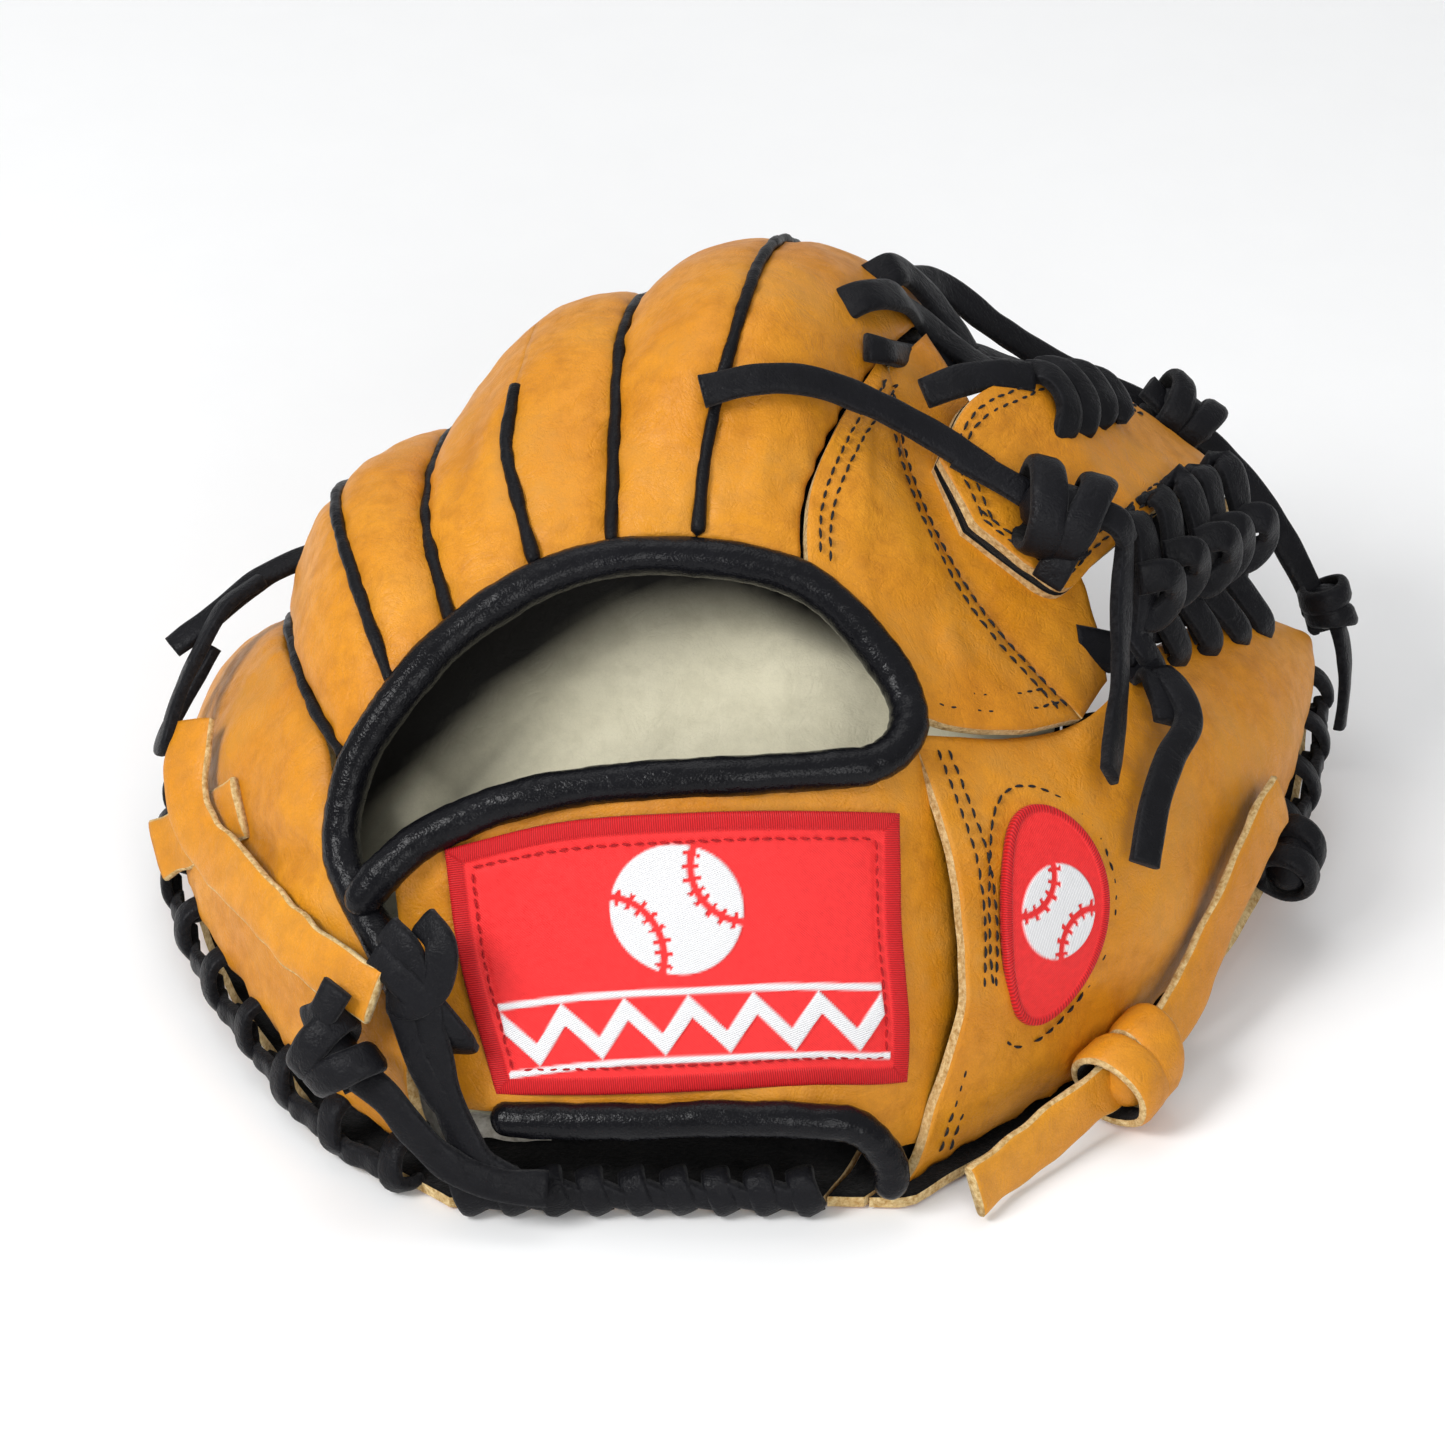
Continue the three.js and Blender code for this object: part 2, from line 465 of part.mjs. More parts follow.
// Laces along the outer edges.
const zigzag = (upper, lower, from, to, count, out, amplitude, side) =>
  new THREE.CatmullRomCurve3(
    Array.from({ length: count + 1 }, (_, i) => {
      const t = from + ((to - from) * i) / count;
      const ahead = upper.getTangentAt(t);
      const p = mix(upper.getPointAt(t), lower.getPointAt(t), 0.5);
      p.add(new THREE.Vector3(-side * ahead.y, side * ahead.x, 0).normalize().multiplyScalar(out));
      p.z = Math.max(p.z + (i % 2 ? amplitude : -amplitude), LACE_WIDTH / 2 + 0.2);
      return p;
    }));
const outward = (side) => (curve) => (t) => {
  const ahead = curve.getTangentAt(t);
  return new THREE.Vector3(-side * ahead.y, side * ahead.x, 0).normalize();
};
const pinkyEdgePath = zigzag(pinkyEdge, palmPinkyEdge, 0.04, 0.97, 22, 4.5, 1.5, 1);
const thumbEdgePath = zigzag(thumbLower, palmThumbEdge, 0.72, 0.95, 8, 4.5, 1.5, -1);
add("pinky_edge_lace", lace(pinkyEdgePath, outward(1)(pinkyEdgePath), 44), black);
add("thumb_edge_lace", lace(thumbEdgePath, outward(-1)(thumbEdgePath), 16), black);
add("fingertip_lace", lace(rail([-95, 166, 9], [-84, 173, 12], [-72, 168, 18], [-58, 176, 28],
  [-34, 188, 42],
  [-14, 201, 49], [2, 199, 54], [30, 211, 51], [49, 208, 52], [56, 200, 56]), [0, 1, 0.2], 36), black);
add("heel_lace", lace(rail([-44, -7, 3.6], [-30, -7.5, 5], [-16, -7.5, 3.6], [-2, -7.5, 5], [12, -7.5, 3.6],
  [24, -7, 5]), [0, -1, 0], 20, LACE_WIDTH, LACE_THICK), black);

// Loops of the pinky and the thumb.
const besidePinky = [-0.8, -0.5, 0.3];
add("pinky_loop_strap", lace(rail([-62, 10.5, 40], [-71, 19, 40], [-80.5, 29, 39.5], [-90, 40, 40],
  [-99, 50, 42],
  [-104, 58, 44.5], [-104.5, 67, 47], [-103.5, 77, 50],
    [-102, 88, 55]), besidePinky, 26, STRAP_WIDTH), tan);
add("pinky_loop_lace", lace(rail([-101, 93, 62], [-108, 98, 55], [-110, 104, 60], [-104, 108, 66],
  [-96, 112, 68], [-88, 116, 70]), [-0.6, -0.3, 0.7], 18, 5), black);
add("strap_lace", lace(rail([-58.5, 3, 46], [-52, 1.5, 44], [-47, 2.5, 38], [-56, -0.5, 36],
  [-58, -0.5, 31],
  [-49, -1.5, 30], [-46, -2.5, 25], [-50, -5, 20]), [-0.3, -0.9, 0.3], 34, 5), black);
add("strap_lace_knot", bead([-73.5, 6.5, 28], [8.5, 5.5, 7]), black);
add("strap_lace_tail", lace(rail([-66, 0, 21], [-62, -3.5, 16.5], [-57, -7, 11.5], [-50, -9, 7],
  [-42, -12, 4.5],
  [-32, -13, 4]), [-0.5, -0.8, 0.5], 18), black);

// Index lace: a tail that ends free over the index finger, its knot and the tail that hangs over the thumb.
add("index_lace_knot", bead([72.5, 92.5, 96.5], [11, 6.5, 6]), black);
add("index_lace_tail", lace(rail([2, 89.5, 125.5], [12, 91.5, 127], [22, 94, 125.5], [34, 97.5, 119],
  [47, 99, 110.5], [58.5, 97.5, 103]), [0.35, -0.55, 0.75], 20), black);
add("index_lace_hanging_tail", lace(rail([85.5, 91, 92], [85, 86.5, 84], [84.5, 79.5, 76], [84, 71, 69.5],
  [82.5, 61, 64.5], [81, 51.5, 62]), [0.45, -0.4, 0.8], 18), black);
add("short_web_tail", lace(rail([46, 113, 112.8], [53, 115.5, 114.3], [61, 119, 113.8], [68, 122.5, 111.3]),
  [0.3, -0.6, 0.75], 10), black);
add("thumb_web_tail", lace(rail([93, 83, 65.5], [96, 78, 64.5], [98, 71.5, 61.5], [93.5, 60, 60],
  [90, 50, 56.5], [87.5, 40, 49]), [0.55, -0.45, 0.7], 14), black);
add("web_top_knot", bead([104, 165.5, 75], [7, 3.8, 5.5]), black);
add("thumb_tip_knot", bead([137, 157.5, 33], [5.5, 6, 6.5]), black);
add("thumb_tip_tail", lace(rail([140, 153, 27.5], [141, 151, 21], [141, 149.5, 14], [140.5, 148, 8]),
  [1, -0.3, 0.2],
  10), black);
add("thumb_edge_knot", bead([123, 86.5, 16.5], [5.5, 7.2, 6.5]), black);
add("thumb_loop_strap", lace(rail([116, 76.5, 34], [112, 68, 31], [107.5, 59.5, 26.5], [102.5, 51.5, 20],
  [98, 43, 14.5], [93.5, 36, 12]), [0.85, -0.5, 0.15], 18, STRAP_WIDTH), tan);
add("thumb_loop_knot", bead([86, 25.5, 10.5], [8.5, 8, 8.5]), tan);
add("thumb_loop_tail", lace(rail([78, 17.5, 9.5], [71.5, 11.5, 8], [65, 5, 6.8], [59, -1, 6.3],
  [54, -7, 6.2]),
  [0.75, -0.65, 0.3], 12, STRAP_WIDTH), tan);

export default glove;
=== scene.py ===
import math

import bmesh
import bpy
import numpy as np
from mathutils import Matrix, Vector


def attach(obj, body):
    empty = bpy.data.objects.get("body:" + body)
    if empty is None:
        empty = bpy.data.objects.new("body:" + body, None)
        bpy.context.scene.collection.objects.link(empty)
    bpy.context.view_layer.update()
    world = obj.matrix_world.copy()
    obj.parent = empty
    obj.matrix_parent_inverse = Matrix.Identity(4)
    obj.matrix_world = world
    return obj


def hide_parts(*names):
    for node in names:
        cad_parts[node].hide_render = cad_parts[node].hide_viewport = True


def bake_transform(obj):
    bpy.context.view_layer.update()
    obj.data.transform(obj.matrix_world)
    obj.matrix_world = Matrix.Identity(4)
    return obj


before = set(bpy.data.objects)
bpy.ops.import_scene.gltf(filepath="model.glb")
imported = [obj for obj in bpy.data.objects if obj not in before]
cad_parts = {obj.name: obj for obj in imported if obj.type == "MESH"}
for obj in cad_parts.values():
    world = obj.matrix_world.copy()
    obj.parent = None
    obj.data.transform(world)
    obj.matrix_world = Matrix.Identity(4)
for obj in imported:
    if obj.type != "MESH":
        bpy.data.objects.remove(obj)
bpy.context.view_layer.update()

# A fielder's glove for the left hand, palm down. Everything is made in millimetres, in the frame of the
# CAD model, and piece() turns it into metres.
MM = 0.001
FINGERS, THUMB = "finger_side", "thumb_side"

# ---- Driving dimensions ----------------------------------------------------------------------------------
LEATHER = 2.4  # thickness of the shell
LINING = 1.2
BINDING = 7.6  # diameter of the rolled edge
WELT = 2.6
LACE_WIDTH, LACE_THICK = 6.2, 2.4
STRAP_WIDTH = 11.0  # leather loops of the pinky and the thumb
PAD_BASE = LEATHER + 3  # height of the pads over the palm's outer face
PAD = 5.0
FELT = 2.6
CROWN_REACH = 5.5  # a panel rises over this distance from its seams
PUCKER_DEPTH, PUCKER_WIDTH = 1.25, 2.6
# width of the painted shade along a sewn-down edge
SEAM_SHADE = 1.8
TIE_WIDTH = 5.6  # laces drawn tight through the leather
HINGE = np.array([30.0, 1.0])  # the fold of the palm, seen from above
ACROSS_FOLD = np.array([0.859, -0.513])
FOLD_START, FOLD_END = -30.0, 5.0
CLEARANCE = 0.05  # lowest height of a laid piece over the ground
SECTION = 16  # sides of a lace
LACE_STEP = 0.9
GATHER = 3.4  # spacing of the wrinkles of a rolled edge

# ---- Camera ----------------------------------------------------------------------------------------------
TARGET = Vector((0.006, 0.077, 0.057))
DISTANCE, ELEVATION = 0.9, math.radians(34.0)
FOCAL_SHARE = 4530 / 1445  # focal length over the width of the picture
eye = TARGET + DISTANCE * Vector((0, -math.cos(ELEVATION), math.sin(ELEVATION)))
camera_data = bpy.data.cameras.new("camera")
camera_data.sensor_width = 36
camera_data.lens = 36 * FOCAL_SHARE
camera = bpy.data.objects.new("camera", camera_data)
camera.location = eye
camera.rotation_euler = (TARGET - eye).to_track_quat("-Z", "Y").to_euler()
bpy.context.scene.collection.objects.link(camera)
bpy.context.scene.camera = camera


# ---- Curves and surfaces ---------------------------------------------------------------------------------
def unit(v):
    return v / np.maximum(np.linalg.norm(v, axis=-1, keepdims=True), 1e-9)


def spline(points, s):
    """Centripetal Catmull-Rom: points (K, N, 3), s (N,) from 0 to K - 1."""
    k = len(points)
    i = np.clip(np.floor(s).astype(int), 0, k - 2)
    w = (s - i)[:, None]
    ends = np.concatenate([2 * points[:1] - points[1:2], points, 2 * points[-1:] - points[-2:-1]])
    n = np.arange(points.shape[1])
    p0, p1, p2, p3 = (ends[i + j, n] for j in range(4))
    gap = lambda a, b: np.maximum(np.linalg.norm(b - a, axis=1, keepdims=True) ** 0.5, 1e-4)
    d0, d1, d2 = gap(p0, p1), gap(p1, p2), gap(p2, p3)
    m1 = ((p1 - p0) / d0 - (p2 - p0) / (d0 + d1) + (p2 - p1) / d1) * d1
    m2 = ((p2 - p1) / d1 - (p3 - p1) / (d1 + d2) + (p3 - p2) / d2) * d1
    return ((2 * w**3 - 3 * w**2 + 1) * p1 + (w**3 - 2 * w**2 + w) * m1
            + (3 * w**2 - 2 * w**3) * p2 + (w**3 - w**2) * m2)


class Rail:
    """A smooth line through points, read by the share of its length."""

    def __init__(self, *points):
        self.p = np.array(points, float)
        self.s = np.linspace(0, len(self.p) - 1, 40 * (len(self.p) - 1) + 1)
        x = self.raw(self.s)
        run = np.concatenate([[0], np.cumsum(np.linalg.norm(np.diff(x, axis=0), axis=1))])
        self.length = run[-1]
        self.share = run / run[-1]

    def raw(self, s):
        return spline(np.repeat(self.p[:, None], len(s), 1), s)

    def __call__(self, t):
        return self.raw(np.interp(np.atleast_1d(t), self.share, self.s))

    def cut(self, a, b, n=15):
        return Rail(*self(np.linspace(a, b, n)))


def arch(left, ridge, right, fullness=0.75):
    """A surface that vaults from one rail over the ridge to the other."""

    def surface(u, t):
        a, b = left(t), right(t)
        rise = ridge(t) - (a + b) / 2
        return a + (b - a) * u[:, None] + rise * (np.sin(np.pi * np.clip(u, 0, 1)) ** fullness)[:, None]

    return surface


def loft(*rails):
    """A surface through rails, even across its width and never below the ground."""

    def surface(u, t):
        p = np.stack([r(t) for r in rails])
        marks = np.linspace(0, len(rails) - 1, 8 * (len(rails) - 1) + 1)
        x = np.stack([spline(p, np.full(len(t), m)) for m in marks])
        run = np.cumsum(np.linalg.norm(np.diff(x, axis=0), axis=2), axis=0)
        run = np.concatenate([np.zeros((1, len(t))), run])
        want = np.clip(u, 0, 1) * run[-1]
        i = np.clip((run <= want).sum(0) - 1, 0, len(marks) - 2)
        n = np.arange(len(t))
        part = (want - run[i, n]) / np.maximum(run[i + 1, n] - run[i, n], 1e-9)
        s = marks[i] + part * (marks[1] - marks[0])
        q = spline(p, s)
        q[:, 2] = np.maximum(q[:, 2], 0)
        return q

    return surface


def coons(bottom, top, left, right, bulge=0.0):
    """A surface between four rails that meet at its corners."""
    c00, c10, c01, c11 = bottom(0)[0], bottom(1)[0], top(0)[0], top(1)[0]
    out = unit(np.cross(c10 - c00, c01 - c00))

    def surface(u, t):
        u, t = np.asarray(u), np.asarray(t)
        a, b = u[:, None], t[:, None]
        rows = bottom(u) * (1 - b) + top(u) * b
        columns = left(t) * (1 - a) + right(t) * a
        corners = (c00 * (1 - a) + c10 * a) * (1 - b) + (c01 * (1 - a) + c11 * a) * b
        return rows + columns - corners + out * bulge * (np.sin(np.pi * a) * np.sin(np.pi * b))

    return surface


def ripple(p, size, seed, count=22):
    """Smooth noise of unit spread, with features of about size mm."""
    draw = np.random.default_rng(seed)
    k = unit(draw.normal(size=(count, 3))) * 2 * np.pi / size * draw.uniform(0.6, 1.5, (count, 1))
    return np.cos(p @ k.T + draw.uniform(0, 2 * np.pi, count)).sum(1) * math.sqrt(2 / count)


def to_line(p, a, b):
    """Distance from each point to the segment a-b, and the share of the way along it."""
    a, b = np.array(a, float), np.array(b, float)
    s = np.clip((p - a) @ (b - a) / ((b - a) @ (b - a)), 0, 1)
    return np.linalg.norm(p - a - s[:, None] * (b - a), axis=1), s


# ---- Materials -------------------------------------------------------------------------------------------
class Look:
    """A material's node tree, built a node at a time."""

    def __init__(self, name):
        self.material = bpy.data.materials.new(name)
        self.material.use_nodes = True
        self.tree = self.material.node_tree
        self.shader = self.tree.nodes["Principled BSDF"]
        self.place = self.node("ShaderNodeTexCoord").outputs["Object"]

    def node(self, kind, links=(), **settings):
        made = self.tree.nodes.new(kind)
        for key, value in settings.items():
            if key.startswith("in_"):
                made.inputs[key[3:].replace("_", " ")].default_value = value
            else:
                setattr(made, key, value)
        for socket, source in dict(links).items():
            self.tree.links.new(source, made.inputs[socket])
        return made

    def noise(self, scale, detail=3.0, rough=0.55, distortion=0.0):
        return self.node("ShaderNodeTexNoise", {"Vector": self.place}, in_Scale=scale, in_Detail=detail,
                         in_Roughness=rough, in_Distortion=distortion).outputs["Fac"]

    def pores(self, scale):
        return self.node("ShaderNodeTexVoronoi", {"Vector": self.place}, feature="DISTANCE_TO_EDGE",
                         in_Scale=scale).outputs["Distance"]

    def attribute(self, name):
        return self.node("ShaderNodeAttribute", attribute_name=name).outputs["Fac"]

    def ramp(self, value, low, high, to_low=0.0, to_high=1.0):
        return self.node("ShaderNodeMapRange", {"Value": value}, in_From_Min=low, in_From_Max=high,
                         in_To_Min=to_low, in_To_Max=to_high).outputs["Result"]

    def math(self, how, a, b):
        made = self.node("ShaderNodeMath", operation=how)
        for i, x in enumerate((a, b)):
            if isinstance(x, (int, float)):
                made.inputs[i].default_value = x
            else:
                self.tree.links.new(x, made.inputs[i])
        return made.outputs[0]

    def colour(self, share, a, b):
        made = self.node("ShaderNodeMix", data_type="RGBA")
        for socket, x in ((0, share), (6, a), (7, b)):
            if isinstance(x, tuple):
                made.inputs[socket].default_value = (*x, 1)
            else:
                self.tree.links.new(x, made.inputs[socket])
        return made.outputs[2]

    def bump(self, height, strength, distance, under=None):
        made = self.node("ShaderNodeBump", {"Height": height}, in_Strength=strength, in_Distance=distance)
        if under:
            self.tree.links.new(under, made.inputs["Normal"])
        return made.outputs["Normal"]

    def finish(self, colour, rough, normal, **constants):
        self.tree.links.new(colour, self.shader.inputs["Base Color"])
        self.tree.links.new(rough, self.shader.inputs["Roughness"])
        self.tree.links.new(normal, self.shader.inputs["Normal"])
        for key, value in constants.items():
            self.shader.inputs[key.replace("_", " ")].default_value = value
        return self.material


def leather_look(name, deep, middle, light, rough, grain=1.0, wear=None, shadow=None, creases=1.0,
                 specular=0.5):
    """Grained leather: pores, fine creases and patchy colour, with painted shade by its seams and in its
    folds, painted shadow where a shade mark is given, and paler where worn.
    """
    look = Look(name)
    patches = look.noise(26, 4, 0.6)
    mottle = look.noise(240, 4, 0.65)
    fine = look.noise(1500, 3, 0.6)
    cells = look.pores(1300)
    folds = look.noise(95, 5, 0.6, 1.6)
    lines = look.ramp(look.math("ABSOLUTE", look.math("SUBTRACT", folds, 0.5), 0.0), 0.0, 0.05)
    body = look.colour(look.ramp(patches, 0.32, 0.68), middle, light)
    body = look.colour(look.ramp(mottle, 0.42, 0.75, 0, 0.45), body, deep)
    body = look.colour(look.ramp(cells, 0.0, 0.05, 0.28, 0.0), body, deep)
    # painted shade: towards the deep colour by sewn-down edges and in fold creases
    body = look.colour(look.math("MULTIPLY", look.attribute("seam"), 0.55), body, deep)
    if wear:
        rubbed = look.math("MULTIPLY", look.attribute("worn"), look.ramp(mottle, 0.3, 0.7))
        body = look.colour(rubbed, body, wear)
    # painted shadow, read from the shade mark
    if shadow:
        body = look.colour(look.attribute("shade"), body, shadow)
    gloss = look.ramp(mottle, 0.3, 0.7, rough - 0.06, rough + 0.1)
    normal = look.bump(cells, 0.22 * grain, 0.0004)
    normal = look.bump(fine, 0.16 * grain, 0.0004, normal)
    normal = look.bump(lines, 0.22 * creases, 0.0006, normal)
    normal = look.bump(mottle, 0.25 * grain, 0.0012, normal)
    return look.finish(body, gloss, normal, Specular_IOR_Level=specular)


def fuzz_look(name, deep, light, rough=0.9, scale=900, strength=0.7):
    """Cut leather, suede, felt and other nap."""
    look = Look(name)
    nap = look.noise(scale, 4, 0.7)
    patches = look.noise(110, 3, 0.6)
    body = look.colour(look.ramp(nap, 0.35, 0.65), deep, light)
    body = look.colour(look.ramp(patches, 0.4, 0.8, 0, 0.35), body, deep)
    normal = look.bump(nap, strength, 0.0008)
    gloss = look.ramp(patches, 0.3, 0.7, rough - 0.08, min(rough + 0.06, 1))
    return look.finish(body, gloss, normal, Sheen_Weight=0.08, Specular_IOR_Level=0.12)


def thread_look(name, colour, dark, scale=2600):
    look = Look(name)
    strands = look.noise(scale, 2, 0.5)
    shade = look.noise(300, 2)
    body = look.colour(look.ramp(strands, 0.35, 0.7), dark, colour)
    return look.finish(body, look.ramp(shade, 0.3, 0.7, 0.45, 0.65), look.bump(strands, 0.5, 0.0003),
                       Sheen_Weight=0.05, Specular_IOR_Level=0.2)


def embroidery_look(name):
    """Twill ground, satin border and white satin figures, from the piece's own run-across measures."""
    look = Look(name)
    x, y, turned = look.attribute("run"), look.attribute("rise"), look.attribute("turn")
    white, rim = look.attribute("white"), look.attribute("rim")
    twill = look.math("SINE", look.math("MULTIPLY", look.math("ADD", x, y), 2 * math.pi / 0.55), 0.0)
    satin = look.math("SINE", look.math("MULTIPLY", turned, 2 * math.pi / 0.42), 0.0)
    slanted = look.math("SUBTRACT", y, look.math("MULTIPLY", x, 0.35))
    figure = look.math("SINE", look.math("MULTIPLY", slanted, 2 * math.pi / 0.4), 0.0)
    uneven = look.noise(700, 3, 0.6)
    ground = look.colour(look.ramp(look.math("ADD", twill, look.ramp(uneven, 0.3, 0.7, -1, 1)), -2, 2),
                         (0.7, 0.018, 0.02), (0.9, 0.034, 0.034))
    edge = look.colour(look.ramp(satin, -1, 1), (0.36, 0.003, 0.006), (0.72, 0.012, 0.016))
    pale = look.colour(look.ramp(figure, -1, 1), (0.66, 0.66, 0.68), (0.93, 0.93, 0.93))
    body = look.colour(rim, ground, edge)
    body = look.colour(white, body, pale)
    grey = lambda share: look.colour(share, (0,) * 3, (1,) * 3)
    field = look.colour(rim, grey(look.ramp(twill, -1, 1, 0, 0.3)), grey(look.ramp(satin, -1, 1)))
    height = look.colour(white, field, grey(look.ramp(figure, -1, 1)))
    normal = look.bump(height, 0.5, 0.0003)
    normal = look.bump(uneven, 0.2, 0.0003, normal)
    return look.finish(body, look.ramp(uneven, 0.3, 0.7, 0.42, 0.6), normal, Sheen_Weight=0.05,
                       Specular_IOR_Level=0.25)


TAN = leather_look("tan_leather", (0.33, 0.105, 0.005), (0.6, 0.218, 0.007), (0.7, 0.285, 0.014), 0.44,
                   wear=(0.74, 0.38, 0.07), specular=0.3)
PALM_TAN = leather_look("palm_leather", (0.27, 0.09, 0.008), (0.46, 0.17, 0.012), (0.55, 0.22, 0.02), 0.5,
                        wear=(0.8, 0.42, 0.14))
# the lining carries a painted shadow in the deep end of the hand opening
LINING_LOOK = leather_look("lining_leather", (0.55, 0.51, 0.36), (0.74, 0.69, 0.5), (0.8, 0.75, 0.56), 0.7,
                           shadow=(0.012, 0.011, 0.009), grain=0.5, creases=0.7, specular=0.3)
BLACK = leather_look("black_lace", (0.002, 0.002, 0.003), (0.005, 0.005, 0.006), (0.008, 0.008, 0.01), 0.38,
                     grain=1.2, wear=(0.03, 0.03, 0.035), specular=0.12)
GLOSS = leather_look("binding_leather", (0.002, 0.002, 0.003), (0.004, 0.004, 0.005),
                     (0.007, 0.007, 0.009), 0.2, creases=0.4, specular=0.15)
RAW = fuzz_look("raw_edge", (0.42, 0.24, 0.07), (0.8, 0.62, 0.32))
SUEDE = fuzz_look("black_suede", (0.003, 0.003, 0.003), (0.012, 0.011, 0.011))
RAW_BLACK = fuzz_look("lace_edge", (0.003, 0.003, 0.004), (0.013, 0.013, 0.015))
FELT_LOOK = fuzz_look("felt", (0.5, 0.46, 0.38), (0.78, 0.74, 0.66), 0.95, 600)
THREAD = thread_look("black_thread", (0.02, 0.02, 0.022), (0.004, 0.004, 0.005))
RED_THREAD = thread_look("red_thread", (0.55, 0.008, 0.012), (0.25, 0.003, 0.006))
PATCH_LOOK = embroidery_look("patch_embroidery")
# The looks of a sheet's top, cut edge and underside.
TAN_SHEET = [TAN, RAW, SUEDE]
PALM_SHEET = [SUEDE, RAW, PALM_TAN]
LACE_SHEET = [BLACK, RAW_BLACK, SUEDE]


# ---- Making meshes ---------------------------------------------------------------------------------------
def piece(name, vertices, faces, looks, face_look=None, marks=None, flat=()):
    """A mesh object from points in mm; marks are the point attributes that its look reads."""
    mesh = bpy.data.meshes.new(name)
    mesh.from_pydata((np.asarray(vertices) * MM).tolist(), [], [list(map(int, f)) for f in faces])
    for look in looks if isinstance(looks, (list, tuple)) else [looks]:
        mesh.materials.append(look)
    smooth = np.ones(len(mesh.polygons), bool)
    if face_look is not None:
        mesh.polygons.foreach_set("material_index", np.asarray(face_look, np.int32))
        for number in flat:
            smooth[np.asarray(face_look) == number] = False
    mesh.polygons.foreach_set("use_smooth", smooth)
    for key, values in (marks or {}).items():
        mesh.attributes.new(key, "FLOAT", "POINT").data.foreach_set("value", np.asarray(values, np.float32))
    mesh.update()
    made = bpy.data.objects.new(name, mesh)
    bpy.context.scene.collection.objects.link(made)
    return made


def settle(made, nodes=(), body=None):
    """Hides the CAD parts that the piece stands for and hangs it on the side of the palm's fold that it moves
    with, or bakes it in place where it spans the fold.
    """
    co = np.array([v.co for v in made.data.vertices]) / MM
    s = (co[:, :2] - HINGE) @ ACROSS_FOLD
    if body is None:
        body = FINGERS if s.max() < FOLD_START else THUMB if s.min() > FOLD_END else None
    if body:
        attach(made, body)
    else:
        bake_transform(made)
    if nodes:
        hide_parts(*nodes)
    return made


def run_along(grid, axis):
    """Distance in mm of each grid point from the first one of its row (axis 1) or column (axis 0)."""
    steps = np.cumsum(np.linalg.norm(np.diff(grid, axis=axis), axis=2), axis)
    return np.insert(steps, 0, 0.0, axis)


def rows_of(surface, along, across, trim, rows, columns):
    """A grid on the surface, rows of equal t, with mm taken off the ends of each row; also its u and t."""
    t = np.linspace(along[0], along[1], rows + 1)
    fine = np.linspace(across[0], across[1], 65)
    run = run_along(surface(np.tile(fine, rows + 1), np.repeat(t, 65)).reshape(rows + 1, 65, 3), 1)
    ends = [x(t) if callable(x) else np.full(rows + 1, float(x)) for x in trim]
    share = np.linspace(0, 1, columns + 1)
    u = np.empty((rows + 1, columns + 1))
    for j in range(rows + 1):
        wanted = ends[0][j] + (run[j, -1] - ends[0][j] - ends[1][j]) * share
        u[j] = np.interp(wanted, run[j], fine)
    tt = np.repeat(t[:, None], columns + 1, 1)
    return surface(u.ravel(), tt.ravel()).reshape(rows + 1, columns + 1, 3), u, tt


def normals_of(grid):
    return unit(np.cross(np.gradient(grid, axis=1), np.gradient(grid, axis=0)))


def edges_of(grid):
    """Distance in mm of each grid point from its left, right, first and last edges."""
    across, along = run_along(grid, 1), run_along(grid, 0)
    return across, across[:, -1:] - across, along, along[-1:] - along


def slab(low, high):
    """Vertices, faces and face kinds (0 top, 1 rim, 2 underside) of a sheet between two grids."""
    rows, columns = low.shape[0] - 1, low.shape[1] - 1
    n = (rows + 1) * (columns + 1)
    k = np.arange(n).reshape(rows + 1, columns + 1)
    quads = lambda a, b, c, d: np.stack([a, b, c, d], -1).reshape(-1, 4)
    top = quads(k[:-1, :-1], k[:-1, 1:], k[1:, 1:], k[1:, :-1]) + n
    under = quads(k[:-1, :-1], k[1:, :-1], k[1:, 1:], k[:-1, 1:])
    rim = np.concatenate([
        quads(k[0, :-1], k[0, 1:], k[0, 1:] + n, k[0, :-1] + n),
        quads(k[-1, 1:], k[-1, :-1], k[-1, :-1] + n, k[-1, 1:] + n),
        quads(k[1:, 0], k[:-1, 0], k[:-1, 0] + n, k[1:, 0] + n),
        quads(k[:-1, -1], k[1:, -1], k[1:, -1] + n, k[:-1, -1] + n)])
    kinds = np.concatenate([np.zeros(len(top)), np.ones(len(rim)), np.full(len(under), 2)])
    return both(low, high), np.concatenate([top, rim, under]), kinds


def both(low, high):
    """The points of two grids, the lower one first."""
    return np.concatenate([low.reshape(-1, 3), high.reshape(-1, 3)])


def twice(**values):
    """Point attributes of a sheet whose two faces carry the same values."""
    return {key: np.concatenate([value.ravel()] * 2) for key, value in values.items()}


